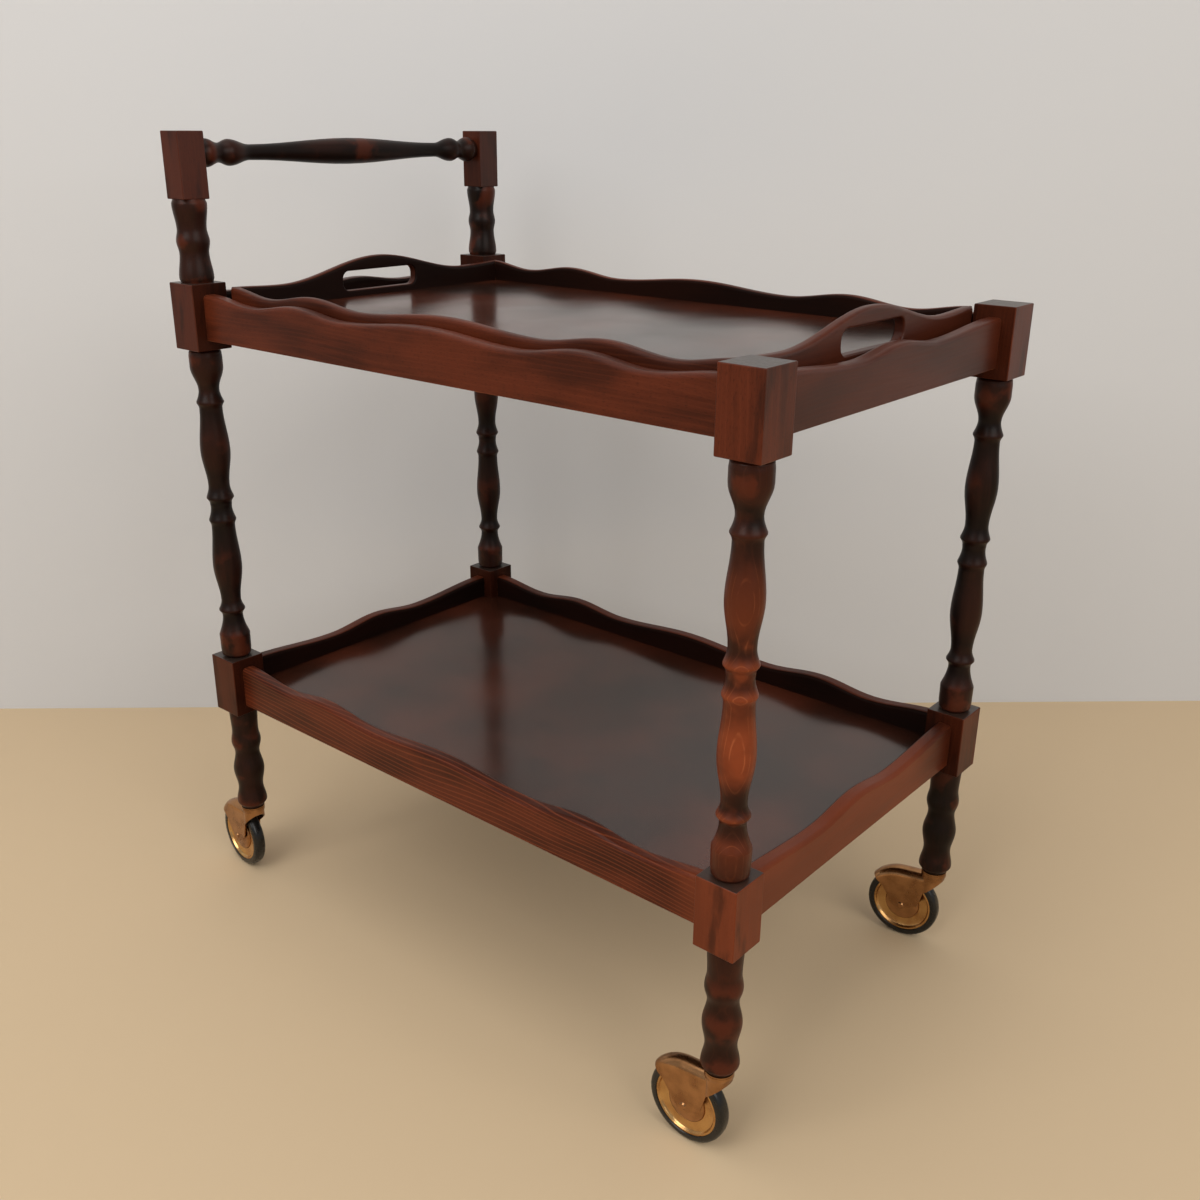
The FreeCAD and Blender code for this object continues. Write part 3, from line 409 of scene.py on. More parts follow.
# Orange of the painted light on the lower front end.
PAINTED_LIGHT_ORANGE = tone(150, 72, 40)
RUBBED_BEECH = tone(172, 106, 64)
LOWER_FRONT_END = {"x": (0.26, 0.30), "y": (0.17, 0.08), "z": (0.30, 0.27)}
NEAR_LOWER_RAIL = {"y": (-0.12, -0.15), "z": (0.30, 0.27)}
UPPER_TIER = {"z": (0.45, 0.55)}
SHADED_REAR_BLOCKS = {"x": (-0.26, -0.31)}
BELOW_HANDLE = {"z": (0.72, 0.68)}
FACING_FRONT = {"x": (0.7, 0.95)}
FACING_UP = {"z": (0.85, 0.97)}
OUTWARD_WEIGHTS = (1.0, 1.6, 0.0)
SMUDGE_WAVES = (70.0, 70.0, 16.0)
LINES_FAINT = 0.08
LINES_STRONG = 0.42
PAINTED_SHADE_SHARES = {"x": 0.92, "y": 0.92, "z": 0.5}
PAINTED_SHADE_DULLS_SHARE = 0.75
POLISHED_SHINE = 0.22
END_GRAIN_SHINE = 0.6


def inside_mask(tree, place, normal):
    """Painted shade mask: 1 on faces that look towards the middle of the trolley, 0 on faces that look out.
    """
    outward = put(tree, "VectorMath", {0: place, 1: OUTWARD_WEIGHTS}, operation="MULTIPLY").outputs[0]
    inward = fade(tree, dot(tree, normal, outward), -0.12, -0.22)
    return times(tree, inward, region(tree, place, BELOW_HANDLE))


def block_marks(tree, place, normal, colour, shine):
    """Colour and shine of the blocks: painted shade at the rear, smudges along the grain, and dark end grain
    on top, greyed by a painted sheen.
    """
    # Painted shade: the rear blocks are darkened.
    colour = lay(tree, colour, STAIN_AND_SHADE_DARK, region(tree, place, SHADED_REAR_BLOCKS), share=0.5)
    drawn_out = put(tree, "Mapping", {"Vector": place, "Scale": SMUDGE_WAVES}).outputs[0]
    smudge = fade(tree, noise(tree, drawn_out, 1.0, 4.0), 0.5, 0.68)
    colour = lay(tree, colour, STAIN_SMUDGE, smudge, share=0.6)
    # The tops are end grain, which really is darker, and their colour is also greyed as a painted sheen.
    end_grain = region(tree, normal, FACING_UP)
    colour = lay(tree, colour, END_GRAIN_AND_SHEEN, end_grain, share=0.85)
    return colour, maths(tree, "MULTIPLY_ADD", end_grain, END_GRAIN_SHINE, shine)


def sawn_beech(axis):
    """The finish of the square and sawn pieces."""
    name = f"stained_beech_{axis}"
    material, tree, shader, place, figure, colour = stain(name, axis, STAIN_AND_SHADE_DARK, STAIN_MID)
    normal = put(tree, "TexCoord").outputs["Normal"]
    # Painted light: the lower front end is made lighter and more orange, where light falls on it.
    colour = lay(tree, colour, PAINTED_LIGHT_ORANGE, region(tree, place, LOWER_FRONT_END), share=0.34)
    strength = LINES_FAINT
    if axis == "x":
        near_rail = region(tree, place, NEAR_LOWER_RAIL)
        strength = maths(tree, "MULTIPLY_ADD", near_rail, LINES_STRONG, LINES_FAINT)
    colour = lay(tree, colour, STAIN_PALE, figure["Lines"], share=strength)
    polished = times(tree, region(tree, normal, FACING_FRONT), region(tree, place, UPPER_TIER))
    shine = maths(tree, "MULTIPLY_ADD", polished, POLISHED_SHINE, SHEEN)
    # Painted shade: the upper tier's end boards and tray ends, which get less light than the long sides, are
    # darkened.
    if axis == "y":
        colour = lay(tree, colour, STAIN_AND_SHADE_DARK, region(tree, place, UPPER_TIER), share=0.45)
    if axis == "z":
        colour, shine = block_marks(tree, place, normal, colour, shine)
    # Painted shade: faces that look inwards, below the handle, are darkened almost to black and dulled.
    inside = inside_mask(tree, place, normal)
    colour = lay(tree, colour, GRIME_AND_SHADE, inside, share=PAINTED_SHADE_SHARES[axis])
    shine = times(tree, shine, maths(tree, "MULTIPLY_ADD", inside, -PAINTED_SHADE_DULLS_SHARE, 1.0))
    rubbed = put(tree, "Group", {"Vector": place}, node_tree=RUBBED).outputs["Mask"]
    colour = lay(tree, colour, RUBBED_BEECH, rubbed, share=0.45)
    fill(tree, shader, {"Base Color": colour, "Specular IOR Level": shine})
    return material


BEECH_ALONG = {axis: sawn_beech(axis) for axis in "xyz"}
print("finishes:", [material.name for material in BEECH_ALONG.values()])

# %% [markdown]
# # The turned finish
# Turned wood soaks up more stain, so the legs are darker than the rails. Polish has gathered almost black
# in the necks, and patches of the swells are rubbed back to red. The near leg stands in the light, so the
# lower part of it is painted orange as painted light. A texture painted round each leg would show that, but
# the distance from the leg's own axis already tells swell from neck. The rings of the tree lie in almost
# flat layers, so a wave through space draws arches where a swell cuts them. All four legs stand at the same
# distance from the middle, so folding the coordinates with an absolute value lets one material serve them
# all, and an unfolded place tells the lit leg. The bar lies along Y, so it takes its distance from a
# different axis.

# %% Turned beech, upright and for the push bar
TURNED_DARK = tone(16, 8, 5)
TURNED_MID = tone(44, 20, 12)
# Orange of the painted light on the front right leg.
PAINTED_LIT_ORANGE = tone(140, 65, 34)
RING_PALE = tone(188, 106, 64)
NEAR_CORNER = {"x": (0.20, 0.25), "y": (-0.10, -0.15)}
ABOVE_SHELF = {"z": (0.26, 0.36)}
BELOW_MIDDLE = {"z": (0.57, 0.38)}
LEG_RING_WAVES = (1400.0, -2100.0, 0.0)
LEG_RING_BEND = 16.0
LEG_NECK_SHARE = 0.64
BAR_NECK_SHARE = 0.6
RED_FROM_SHARE = 0.8
DARK_FROM_SHARE = 0.86
leg_low, leg_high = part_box("front_left_leg")
LEG_AXIS = ((leg_low.x + leg_high.x) / 2, (leg_low.y + leg_high.y) / 2)
LEG_RADIUS = (leg_high.x - leg_low.x) / 2
bar_low, bar_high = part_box("push_bar")
BAR_HEIGHT = (bar_low.z + bar_high.z) / 2
BAR_RADIUS = (bar_high.z - bar_low.z) / 2


def axis_distance(tree, place, is_bar):
    """Distance from the nearest upright leg axis, or from the push bar's axis, in metres."""
    x, y, z = put(tree, "SeparateXYZ", {0: place}).outputs
    if is_bar:
        across = maths(tree, "SUBTRACT", z, BAR_HEIGHT)
    else:
        across = maths(tree, "SUBTRACT", maths(tree, "ABSOLUTE", y), LEG_AXIS[1])
    along = maths(tree, "SUBTRACT", maths(tree, "ABSOLUTE", x), LEG_AXIS[0])
    flat = put(tree, "CombineXYZ", {0: along, 1: across}).outputs[0]
    return put(tree, "VectorMath", {0: flat}, operation="LENGTH").outputs["Value"]


def painted_light_leg(tree, place):
    """Painted light: 1 low on the front right leg, less towards its ends, and 0 at every other corner."""
    height = times(tree, region(tree, place, ABOVE_SHELF), region(tree, place, BELOW_MIDDLE))
    patchy = maths(tree, "MULTIPLY_ADD", fade(tree, noise(tree, place, 26.0, 3.0), 0.35, 0.6), 0.6, 0.4)
    lit = maths(tree, "MULTIPLY_ADD", times(tree, height, patchy), 0.94, 0.06)
    return times(tree, region(tree, place, NEAR_CORNER), lit)


def ring_arcs(tree, place):
    """Thin lines that come and go, where the turned surface cuts the layers of the growth rings."""
    wobble = noise(tree, place, 9.0, 1.0)
    layers = maths(tree, "MULTIPLY_ADD", wobble, LEG_RING_BEND, dot(tree, place, LEG_RING_WAVES))
    come_and_go = fade(tree, noise(tree, place, 70.0, 2.0), 0.35, 0.6)
    return times(tree, fade(tree, maths(tree, "SINE", layers), 0.82, 1.0), come_and_go)


def turned_beech(name, axis, is_bar, neck, swell):
    """The finish of a turning whose necks and swells have these radii."""
    material, tree, shader, place, _, colour = stain(name, axis, TURNED_DARK, TURNED_MID)
    if not is_bar:
        # Painted light: the front right leg is made orange low down, where light falls on it.
        painted_light_share = painted_light_leg(tree, place)
        colour = lay(tree, colour, PAINTED_LIT_ORANGE, painted_light_share, share=0.85)
        colour = lay(tree, colour, RING_PALE, times(tree, ring_arcs(tree, place), painted_light_share), share=0.36)
    radius = axis_distance(tree, place, is_bar)
    uneven = noise(tree, place, 38.0, 3.0)
    on_swell = fade(tree, radius, swell * RED_FROM_SHARE, swell)
    colour = lay(tree, colour, STAIN_MID, times(tree, on_swell, fade(tree, uneven, 0.48, 0.62)), share=0.6)
    in_neck = fade(tree, radius, swell * DARK_FROM_SHARE, neck)
    colour = lay(tree, colour, GRIME_AND_SHADE, times(tree, in_neck, fade(tree, uneven, 0.25, 0.5)), share=0.85)
    fill(tree, shader, {"Base Color": colour})
    return material


TURNED_UPRIGHT = turned_beech("turned_beech_upright", "z", False, LEG_RADIUS * LEG_NECK_SHARE, LEG_RADIUS)
TURNED_BAR = turned_beech("turned_beech_bar", "y", True, BAR_RADIUS * BAR_NECK_SHARE, BAR_RADIUS)
print("leg axis", [round(c, 4) for c in LEG_AXIS], "leg radius", round(LEG_RADIUS / MM, 1), "mm")

# %% [markdown]
# # Varnished panels
# The shelf and the tray floor are thin boards under a thick dark varnish, almost a mirror at a low angle. A
# mirror with one roughness would look like plastic. Smears in the polish change the roughness from place to
# place, and the streaks of the beech group show through as a faint grain.

# %% The panels' finish
PANEL_DARK = tone(40, 21, 13)
PANEL_RED = tone(92, 44, 28)
PANEL_STREAK = tone(24, 14, 11)
PANEL_SHINE = 0.75


def varnished_panel():
    """Dark polished board with a reddish cloud and smears in the polish."""
    material, tree, shader = new_material("varnished_panel")
    place = object_place(tree)
    streaks = put(tree, "Group", {"Vector": place}, node_tree=BEECH).outputs["Streaks"]
    colour = lay(tree, PANEL_DARK, PANEL_RED, fade(tree, noise(tree, place, 7.0, 6.0), 0.3, 0.75))
    fill(tree, shader, {
        "Base Color": lay(tree, colour, PANEL_STREAK, streaks, share=0.35),
        "Roughness": spread(tree, noise(tree, place, 16.0, 5.0), 0.1, 0.26),
        "Specular IOR Level": PANEL_SHINE,
        "Normal": raised(tree, streaks, 0.06, FIGURE_RELIEF),
    })
    return material


PANEL = varnished_panel()
print("finish:", PANEL.name)

# %% [markdown]
# # Brass and steel
# The castors are pressed brass: coppery on the forks and hubs, paler on the webs, with fine pitting. The
# metal is built like the wood: a colour that noise breaks up, and a roughness that changes with it, so that
# highlights aren't even. Steel differs only in its colours, so one function makes all three.

# %% The metals' finishes
PIT_DEPTH = 0.2 * MM


def dulled_metal(name, bright, dull, spot):
    """Metal with dulled clouds and fine dark pits."""
    material, tree, shader = new_material(name)
    place = object_place(tree)
    cloud = noise(tree, place, 60.0, 4.0)
    pits = noise(tree, place, 1300.0, 1.0)
    colour = lay(tree, bright, dull, fade(tree, cloud, 0.3, 0.72))
    fill(tree, shader, {
        "Base Color": lay(tree, colour, spot, fade(tree, pits, 0.66, 0.76), share=0.45),
        "Roughness": spread(tree, cloud, 0.16, 0.32, 0.3, 0.7),
        "Metallic": 1.0,
        "Normal": raised(tree, pits, 0.05, PIT_DEPTH),
    })
    return material


FORK_BRASS = dulled_metal("fork_brass", tone(180, 134, 92), tone(144, 102, 66), tone(64, 42, 28))
WHEEL_BRASS = dulled_metal("wheel_brass", tone(210, 168, 110), tone(176, 130, 82), tone(74, 54, 36))
STEEL = dulled_metal("plain_steel", tone(176, 174, 170), tone(146, 142, 136), tone(70, 64, 58))
print("finishes:", [material.name for material in (FORK_BRASS, WHEEL_BRASS, STEEL)])

# %% [markdown]
# # Rubber and bare wood
# The tyres are black rubber that the floor has polished, with a little grey dust in patches. The dowels are
# hidden, so plain beech streaks are enough for them. One flat colour each would do only at a distance.

# %% The finishes of tyres and dowels
BARE_ROUGH = 0.6


def tyre_rubber():
    """Black rubber, polished by the floor, with a little dust."""
    material, tree, shader = new_material("tyre_rubber")
    dust = noise(tree, object_place(tree), 160.0, 4.0)
    fill(tree, shader, {
        "Base Color": lay(tree, tone(8, 8, 8), tone(30, 29, 28), fade(tree, dust, 0.56, 0.8)),
        "Roughness": spread(tree, dust, 0.18, 0.4),
    })
    return material


def bare_beech():
    """Unstained beech for the hidden dowels."""
    material, tree, shader = new_material("bare_beech")
    streaks = put(tree, "Group", {"Vector": object_place(tree)}, node_tree=BEECH).outputs["Streaks"]
    colour = lay(tree, tone(160, 112, 72), tone(212, 168, 120), streaks)
    fill(tree, shader, {"Base Color": colour, "Roughness": BARE_ROUGH})
    return material


RUBBER = tyre_rubber()
BARE = bare_beech()
print("finishes:", RUBBER.name, "and", BARE.name)

# %% [markdown]
# # Drawing an outline
# A leg is turned on a lathe: the wood spins, and the tool draws an outline of swells and necks. The same
# idea works here. One vertex is extruded along the outline, with an eased step between each swell and neck.
# A stack of cylinders would be quicker, but it would have creases where the real leg flows. A crisp bead is
# the exception: its girth is listed twice, and the outline meets it at a slope instead of easing.

# %% Tools that trace
EASE_STEPS = 7


def start_trace(name, place):
    """A new piece of one vertex, open in edit mode."""
    bpy.ops.object.select_all(action="DESELECT")
    bpy.ops.mesh.primitive_plane_add(size=MM)
    piece = bpy.context.object
    piece.name = name
    piece.data.name = name
    bpy.ops.object.mode_set(mode="EDIT")
    bpy.ops.mesh.select_mode(type="VERT")
    bpy.ops.mesh.merge(type="CENTER")
    bpy.ops.transform.translate(value=place)
    return piece


def trace(points):
    """Extrude the selected vertex from each point to the next."""
    for start, end in zip(points, points[1:]):
        bpy.ops.mesh.extrude_region_move(TRANSFORM_OT_translate={"value": Vector(end) - Vector(start)})


def eased(shares):
    """The outline through swells and necks, flat at each of them. A girth given twice is a steep crest."""
    points = []
    girths = [shares[0][1] - 1] + [girth for _, girth in shares] + [shares[-1][1] - 1]
    for index, ((along, girth), (next_along, next_girth)) in enumerate(zip(shares, shares[1:])):
        from_crest = girths[index] == girth
        to_crest = girths[index + 3] == next_girth
        for step in range(EASE_STEPS):
            part = step / EASE_STEPS
            swing = (1 - math.cos(math.pi * part)) / 2
            if from_crest:
                swing = math.sin(math.pi / 2 * part)
            elif to_crest:
                swing = 1 - math.cos(math.pi / 2 * part)
            points.append((along + (next_along - along) * part, girth + (next_girth - girth) * swing))
    return points + [shares[-1]]


print("each swell runs into its neck in", EASE_STEPS, "steps")

# %% [markdown]
# # Spinning it round
# The traced line is spun round the leg's axis, as the lathe does. A Screw modifier could do that too, but
# the operator leaves a plain mesh at once. Where the spin closes, doubled points are merged, and the faces
# are then pointed outwards, because a spin can turn a shape inside out.

# %% Tools that spin
SPIN_STEPS = 56
TURNED_ANGLE = 40
HAIR = 0.01 * MM


def close_and_smooth(piece, angle):
    """Merge doubles, point the faces outwards and smooth all but the edges over an angle in degrees."""
    bpy.ops.mesh.select_all(action="SELECT")
    bpy.ops.mesh.remove_doubles(threshold=HAIR)
    bpy.ops.mesh.normals_make_consistent(inside=False)
    bpy.ops.object.mode_set(mode="OBJECT")
    bpy.ops.object.shade_smooth_by_angle(angle=math.radians(angle))
    return piece


def spun(name, outline, centre, axis):
    """A traced line, spun right round an axis."""
    piece = start_trace(name, outline[0])
    trace(outline)
    bpy.ops.mesh.select_all(action="SELECT")
    bpy.ops.mesh.spin(steps=SPIN_STEPS, angle=math.tau, center=centre, axis=axis)
    return close_and_smooth(piece, TURNED_ANGLE)


print("lathe of", SPIN_STEPS, "steps")

# %% [markdown]
# # Copying and dressing
# What repeats is made once and copied. Linked copies would save memory, but each piece here gets a mesh of
# its own, moved inside that mesh, so that every object stays at the origin and no two show the same grain.
# Dressing a piece gives it a finish, the body that it rides on and the CAD nodes it stands for.

# %% Tools that copy, place and dress
def pick(piece):
    """Make a piece the only selected one."""
    bpy.ops.object.select_all(action="DESELECT")
    piece.select_set(True)
    bpy.context.view_layer.objects.active = piece


def copy_of(piece, name):
    """A copy with a mesh of its own."""
    pick(piece)
    bpy.ops.object.duplicate(linked=False)
    copy = bpy.context.object
    copy.name = name
    copy.data.name = name
    return copy


def set_in_place(piece, turn, place):
    """Turn a piece about the upright axis and move it, inside its mesh."""
    pick(piece)
    bpy.ops.object.mode_set(mode="EDIT")
    bpy.ops.mesh.select_all(action="SELECT")
    bpy.ops.transform.rotate(value=-turn, orient_axis="Z", center_override=(0, 0, 0))
    bpy.ops.transform.translate(value=place)
    bpy.ops.object.mode_set(mode="OBJECT")
    return piece


def copy_moved(piece, name, shift):
    """A copy that is moved by a shift."""
    return set_in_place(copy_of(piece, name), 0, shift)


def paint(piece, finish):
    """Give a piece one finish all over."""
    piece.data.materials.clear()
    piece.data.materials.append(finish)


def dress(piece, finish, body, slot, *nodes):
    """Give a piece its finish and body, and hide the CAD nodes that it stands for."""
    paint(piece, finish)
    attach(piece, body)
    if nodes:
        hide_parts(*nodes)


def middle(node):
    """The middle of a CAD node's box."""
    low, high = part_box(node)
    return (low + high) / 2


def size_mm(piece):
    """The size of a piece in millimetres, for printing."""
    return [round(side / MM, 1) for side in piece.dimensions]


print("the push bar's middle is at", [round(c, 4) for c in middle("push_bar")])

# %% [markdown]
# # Legs, feet and handle posts
# The outlines run from the bottom up, as shares of the length and of the largest diameter. Each bead of a
# leg has a crisp crest, with a slow flare above it and a short cut below it, as a skew chisel leaves it.
# The first leg is turned at the front right corner and then copied to the other three, each copy with its
# own mesh. Its ends are tucked a hair into the blocks, so that no gap of light shows at the shoulder.

# %% Turn the legs, feet and posts
LEG_SHARES = [(0.0, 0.80), (0.011, 0.95), (0.03, 0.975), (0.072, 0.985), (0.077, 0.985), (0.142, 0.65),
              (0.160, 0.83), (0.164, 0.83), (0.195, 0.63), (0.313, 0.92), (0.444, 0.735), (0.462, 0.845),
              (0.466, 0.845), (0.505, 0.66), (0.518, 0.68), (0.535, 0.845), (0.539, 0.845), (0.577, 0.66),
              (0.687, 0.92), (0.818, 0.70), (0.835, 0.83), (0.839, 0.83), (0.875, 0.625), (0.945, 1.0),
              (0.975, 0.998), (0.989, 0.97), (1.0, 0.80)]
FOOT_SHARES = [(0.0, 0.72), (0.062, 0.98), (0.213, 0.81), (0.39, 1.0), (0.561, 0.79), (0.672, 0.955),
               (0.779, 0.85), (1.0, 0.91)]
POST_SHARES = [(0.0, 0.92), (0.06, 1.0), (0.355, 0.845), (0.5, 0.955), (0.645, 0.845), (0.94, 1.0),
               (1.0, 0.92)]
TUCK = 0.3 * MM
lower_low, lower_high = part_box("front_right_lower_block")
upper_low, upper_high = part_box("front_right_upper_block")
foot_low, foot_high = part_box("front_right_foot")
post_low, post_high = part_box("rear_right_handle_post")


def turning(corner, kind, bottom, top, radius, shares):
    """An upright turning with closed ends, from one height to another, at a corner's axis."""
    x, y, _ = middle(f"{corner}_leg")
    outline = [(x + radius * girth, y, bottom + (top - bottom) * along) for along, girth in eased(shares)]
    outline = [(x, y, outline[0][2])] + outline + [(x, y, outline[-1][2])]
    return spun(f"{corner}_{kind}_turning", outline, (x, y, bottom), (0, 0, 1))


first_leg = turning("front_right", "leg", lower_high.z - TUCK, upper_low.z + TUCK, LEG_RADIUS, LEG_SHARES)
first_foot = turning("front_right", "foot", foot_low.z, lower_low.z + TUCK, (foot_high.x - foot_low.x) / 2,
                     FOOT_SHARES)
handle_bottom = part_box("rear_right_handle_block")[0].z
first_post = turning("rear_right", "post", upper_high.z - TUCK, handle_bottom + TUCK,
                     (post_high.x - post_low.x) / 2, POST_SHARES)
second_post = copy_moved(first_post, "rear_left_post_turning",
                         middle("rear_left_leg") - middle("rear_right_leg"))
for corner in CORNERS:
    shift = middle(f"{corner}_leg") - middle("front_right_leg")
    leg, foot = first_leg, first_foot
    if corner != "front_right":
        leg = copy_moved(first_leg, f"{corner}_leg_turning", shift)
        foot = copy_moved(first_foot, f"{corner}_foot_turning", shift)
    dress(leg, TURNED_UPRIGHT, "frame", "stained_beech", f"{corner}_leg")
    dress(foot, TURNED_UPRIGHT, "frame", "stained_beech", f"{corner}_foot")
dress(first_post, TURNED_UPRIGHT, "frame", "stained_beech", "rear_right_handle_post")
dress(second_post, TURNED_UPRIGHT, "frame", "stained_beech", "rear_left_handle_post")
print("a leg has", len(first_leg.data.polygons), "faces and measures", size_mm(first_leg), "mm")

# %% [markdown]
# # The push bar
# The bar is one more turning, but it lies across the trolley. It could be turned upright and laid down,
# which is two more steps. Tracing its outline along Y and spinning about Y makes it where it belongs.

# %% Turn the push bar
HALF_BAR_SHARES = [(1.0, 0.78), (0.952, 1.0), (0.874, 0.69), (0.807, 0.94), (0.678, 0.557), (0.0, 0.98)]
bar_centre = middle("push_bar")
bar_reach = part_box("rear_left_handle_block")[0].y + TUCK
bar_shares = [(-along, girth) for along, girth in HALF_BAR_SHARES[:-1]]
bar_shares += reversed(HALF_BAR_SHARES)
bar_outline = [(bar_centre.x, along * bar_reach, bar_centre.z + BAR_RADIUS * girth)
               for along, girth in eased(bar_shares)]
bar_ends = [(bar_centre.x, side * bar_reach, bar_centre.z) for side in (-1, 1)]
bar_outline = bar_ends[:1] + bar_outline + bar_ends[1:]
bar = spun("push_bar_turning", bar_outline, bar_centre, (0, 1, 0))
dress(bar, TURNED_BAR, "frame", "stained_beech", "push_bar")
print("bar", size_mm(bar), "mm")

# %% [markdown]
# # Corner blocks
# Square blocks join the rails to the turnings. A cube at the block's size is only a start: the sharp edges
# of real blocks have been sanded and knocked, so every edge is bevelled in three small steps, and the wide
# faces are kept flat by weighted normals. One block is made, then copied to seven more corners, and the two
# slimmer blocks of the handle are made the same way.

# %% Make the blocks
ARRIS = 1.0 * MM
ARRIS_STEPS = 3
BLOCK_ANGLE = 60


def flat_shaded_round(piece):
    """Keep wide faces flat and let only the rounded edges shade smoothly."""
    piece.modifiers.new("flat_faces", "WEIGHTED_NORMAL").keep_sharp = True
    bpy.ops.object.modifier_apply(modifier="flat_faces")
    return piece


def block(node):
    """A square block with rounded edges at the place of a CAD node."""
    low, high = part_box(node)
    bpy.ops.object.select_all(action="DESELECT")
    bpy.ops.mesh.primitive_cube_add(size=1, location=(low + high) / 2, scale=high - low)
    piece = bpy.context.object
    piece.name = f"{node}_wood"
    piece.data.name = piece.name
    bpy.ops.object.transform_apply(location=True, rotation=True, scale=True)
    bpy.ops.object.mode_set(mode="EDIT")
    bpy.ops.mesh.select_all(action="SELECT")
    bpy.ops.mesh.bevel(offset=ARRIS, segments=ARRIS_STEPS, profile=0.5)
    return flat_shaded_round(close_and_smooth(piece, BLOCK_ANGLE))


first_block = block("front_right_lower_block")
for corner in CORNERS:
    for tier in ("lower", "upper"):
        node = f"{corner}_{tier}_block"
        piece = first_block
        if node != "front_right_lower_block":
            piece = copy_moved(first_block, f"{node}_wood", middle(node) - middle("front_right_lower_block"))
        dress(piece, BEECH_ALONG["z"], "frame", "stained_beech", node)
for node in ("rear_left_handle_block", "rear_right_handle_block"):
    dress(block(node), BEECH_ALONG["z"], "frame", "stained_beech", node)
print("a block has", len(first_block.data.polygons), "faces")

# %% [markdown]
# # Boards with a shaped edge
# Rails and tray walls are boards whose top edge is sawn to a curve and rounded over. A curve object could
# be given thickness, but its rounding would run all round. Here the curve is traced along the outer face,
# pulled down to a flat bottom, and given its thickness. Then only the two top edges are picked, by their
# place, and bevelled.

# %% Tools for boards
ROUND_STEPS = 4
BOARD_ANGLE = 35


def pick_edges(piece, wanted):
    """Select only the edges whose two ends pass a test, in edit mode."""
    bpy.ops.object.mode_set(mode="EDIT")
    bpy.ops.mesh.select_mode(type="EDGE")
    bpy.ops.mesh.select_all(action="DESELECT")
    bpy.ops.object.mode_set(mode="OBJECT")
    corners = piece.data.vertices
    for edge in piece.data.edges:
        edge.select = wanted(corners[edge.vertices[0]].co, corners[edge.vertices[1]].co)
    bpy.ops.object.mode_set(mode="EDIT")


def board_from_edge(name, edge_points, bottom, thickness):
    """A board from its traced top edge: pulled down flat, then thickened."""
    piece = start_trace(name, edge_points[0])
    trace(edge_points)
    bpy.ops.mesh.select_all(action="SELECT")
    drop = bottom - min(point[2] for point in edge_points)
    bpy.ops.mesh.extrude_region_move(TRANSFORM_OT_translate={"value": (0, 0, drop)})
    bpy.ops.transform.resize(value=(1, 1, 0), center_override=(0, 0, bottom))
    bpy.ops.mesh.select_all(action="SELECT")
    bpy.ops.mesh.extrude_region_move(TRANSFORM_OT_translate={"value": thickness})
    bpy.ops.mesh.select_all(action="SELECT")
    bpy.ops.mesh.normals_make_consistent(inside=False)
    return piece


print("a board's edge is rounded in", ROUND_STEPS, "steps")

# %% [markdown]
# # Wavy rails
# Eight rails hold the two tiers together, four long and four short, each with a wave on top that starts and
# ends high at the blocks. All eight could be drawn point by point. The wave is listed once for each length,
# as shares from the middle to one end, and mirrored.

# %% Make the rails
RAIL_WAVE = 6.5 * MM
RAIL_ROUND = 4 * MM
NEAR = 0.1 * MM
LONG_RAIL_SHARES = [(0.0, 1.0), (0.345, 0.0), (0.565, 1.0), (0.77, 0.0), (1.0, 1.0)]
SHORT_RAIL_SHARES = [(0.0, 1.0), (0.375, 0.0), (1.0, 1.0)]


def both_ways(shares):
    """A wave that is listed from the middle to one end, from end to end."""
    return [(-along, swell) for along, swell in reversed(shares[1:])] + shares


def wavy_rail(node, shares):
    """A rail in the place of a CAD node."""
    low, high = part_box(node)
    spot = (low + high) / 2
    size = high - low
    runs_along = size.x > size.y
    points = []
    for along, swell in eased(both_ways(shares)):
        height = high.z - RAIL_WAVE * (1 - swell)
        if runs_along:
            points.append((spot.x + along * size.x / 2, low.y, height))
        else:
            points.append((low.x, spot.y + along * size.y / 2, height))
    thickness = (0, size.y, 0) if runs_along else (size.x, 0, 0)
    piece = board_from_edge(f"{node}_wood", points, low.z, thickness)
    crest = high.z - RAIL_WAVE - NEAR
    side = 0 if runs_along else 1
    pick_edges(piece, lambda a, b: min(a.z, b.z) > crest and abs(a[side] - b[side]) > HAIR)
    bpy.ops.mesh.bevel(offset=RAIL_ROUND, segments=ROUND_STEPS, profile=0.5)
    flat_shaded_round(close_and_smooth(piece, BOARD_ANGLE))
    dress(piece, BEECH_ALONG["x" if runs_along else "y"], "frame", "stained_beech", node)
    return piece


rails = []
for tier in ("lower", "upper"):
    rails += [wavy_rail(f"{tier}_{side}_rail", LONG_RAIL_SHARES) for side in ("left", "right")]
    rails += [wavy_rail(f"{tier}_{side}_rail", SHORT_RAIL_SHARES) for side in ("front", "rear")]
print(len(rails), "rails; the first is", size_mm(rails[0]), "mm")

# %% [markdown]
# # The tray's walls
# The tray has four walls, mitred at rounded corners, and each end rises in the middle over a hand slot. The
# walls are boards like the rails, so the same tracing works. What is new is the corner: the traced edge
# turns halfway round it, and a bisect then cuts the mitre, so that two walls meet in the middle of the
# turn.

# %% Tray wall tools
TRAY_CORNER = 8 * MM
TRAY_ROUND = 3.5 * MM
CORNER_STEPS = 5
WALL_STEPS = 100
MITRE = math.radians(45)
tray_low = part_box("tray_rear_end")[0].copy()
tray_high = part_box("tray_front_end")[1].copy()
side_low, side_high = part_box("tray_right_side")
tray_low.y = side_low.y
tray_high.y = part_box("tray_left_side")[1].y
tray_size = tray_high - tray_low
tray_middle = (tray_low + tray_high) / 2
TRAY_WALL = side_high.y - side_low.y
TRAY_SIDE_HEIGHT = side_high.z - side_low.z


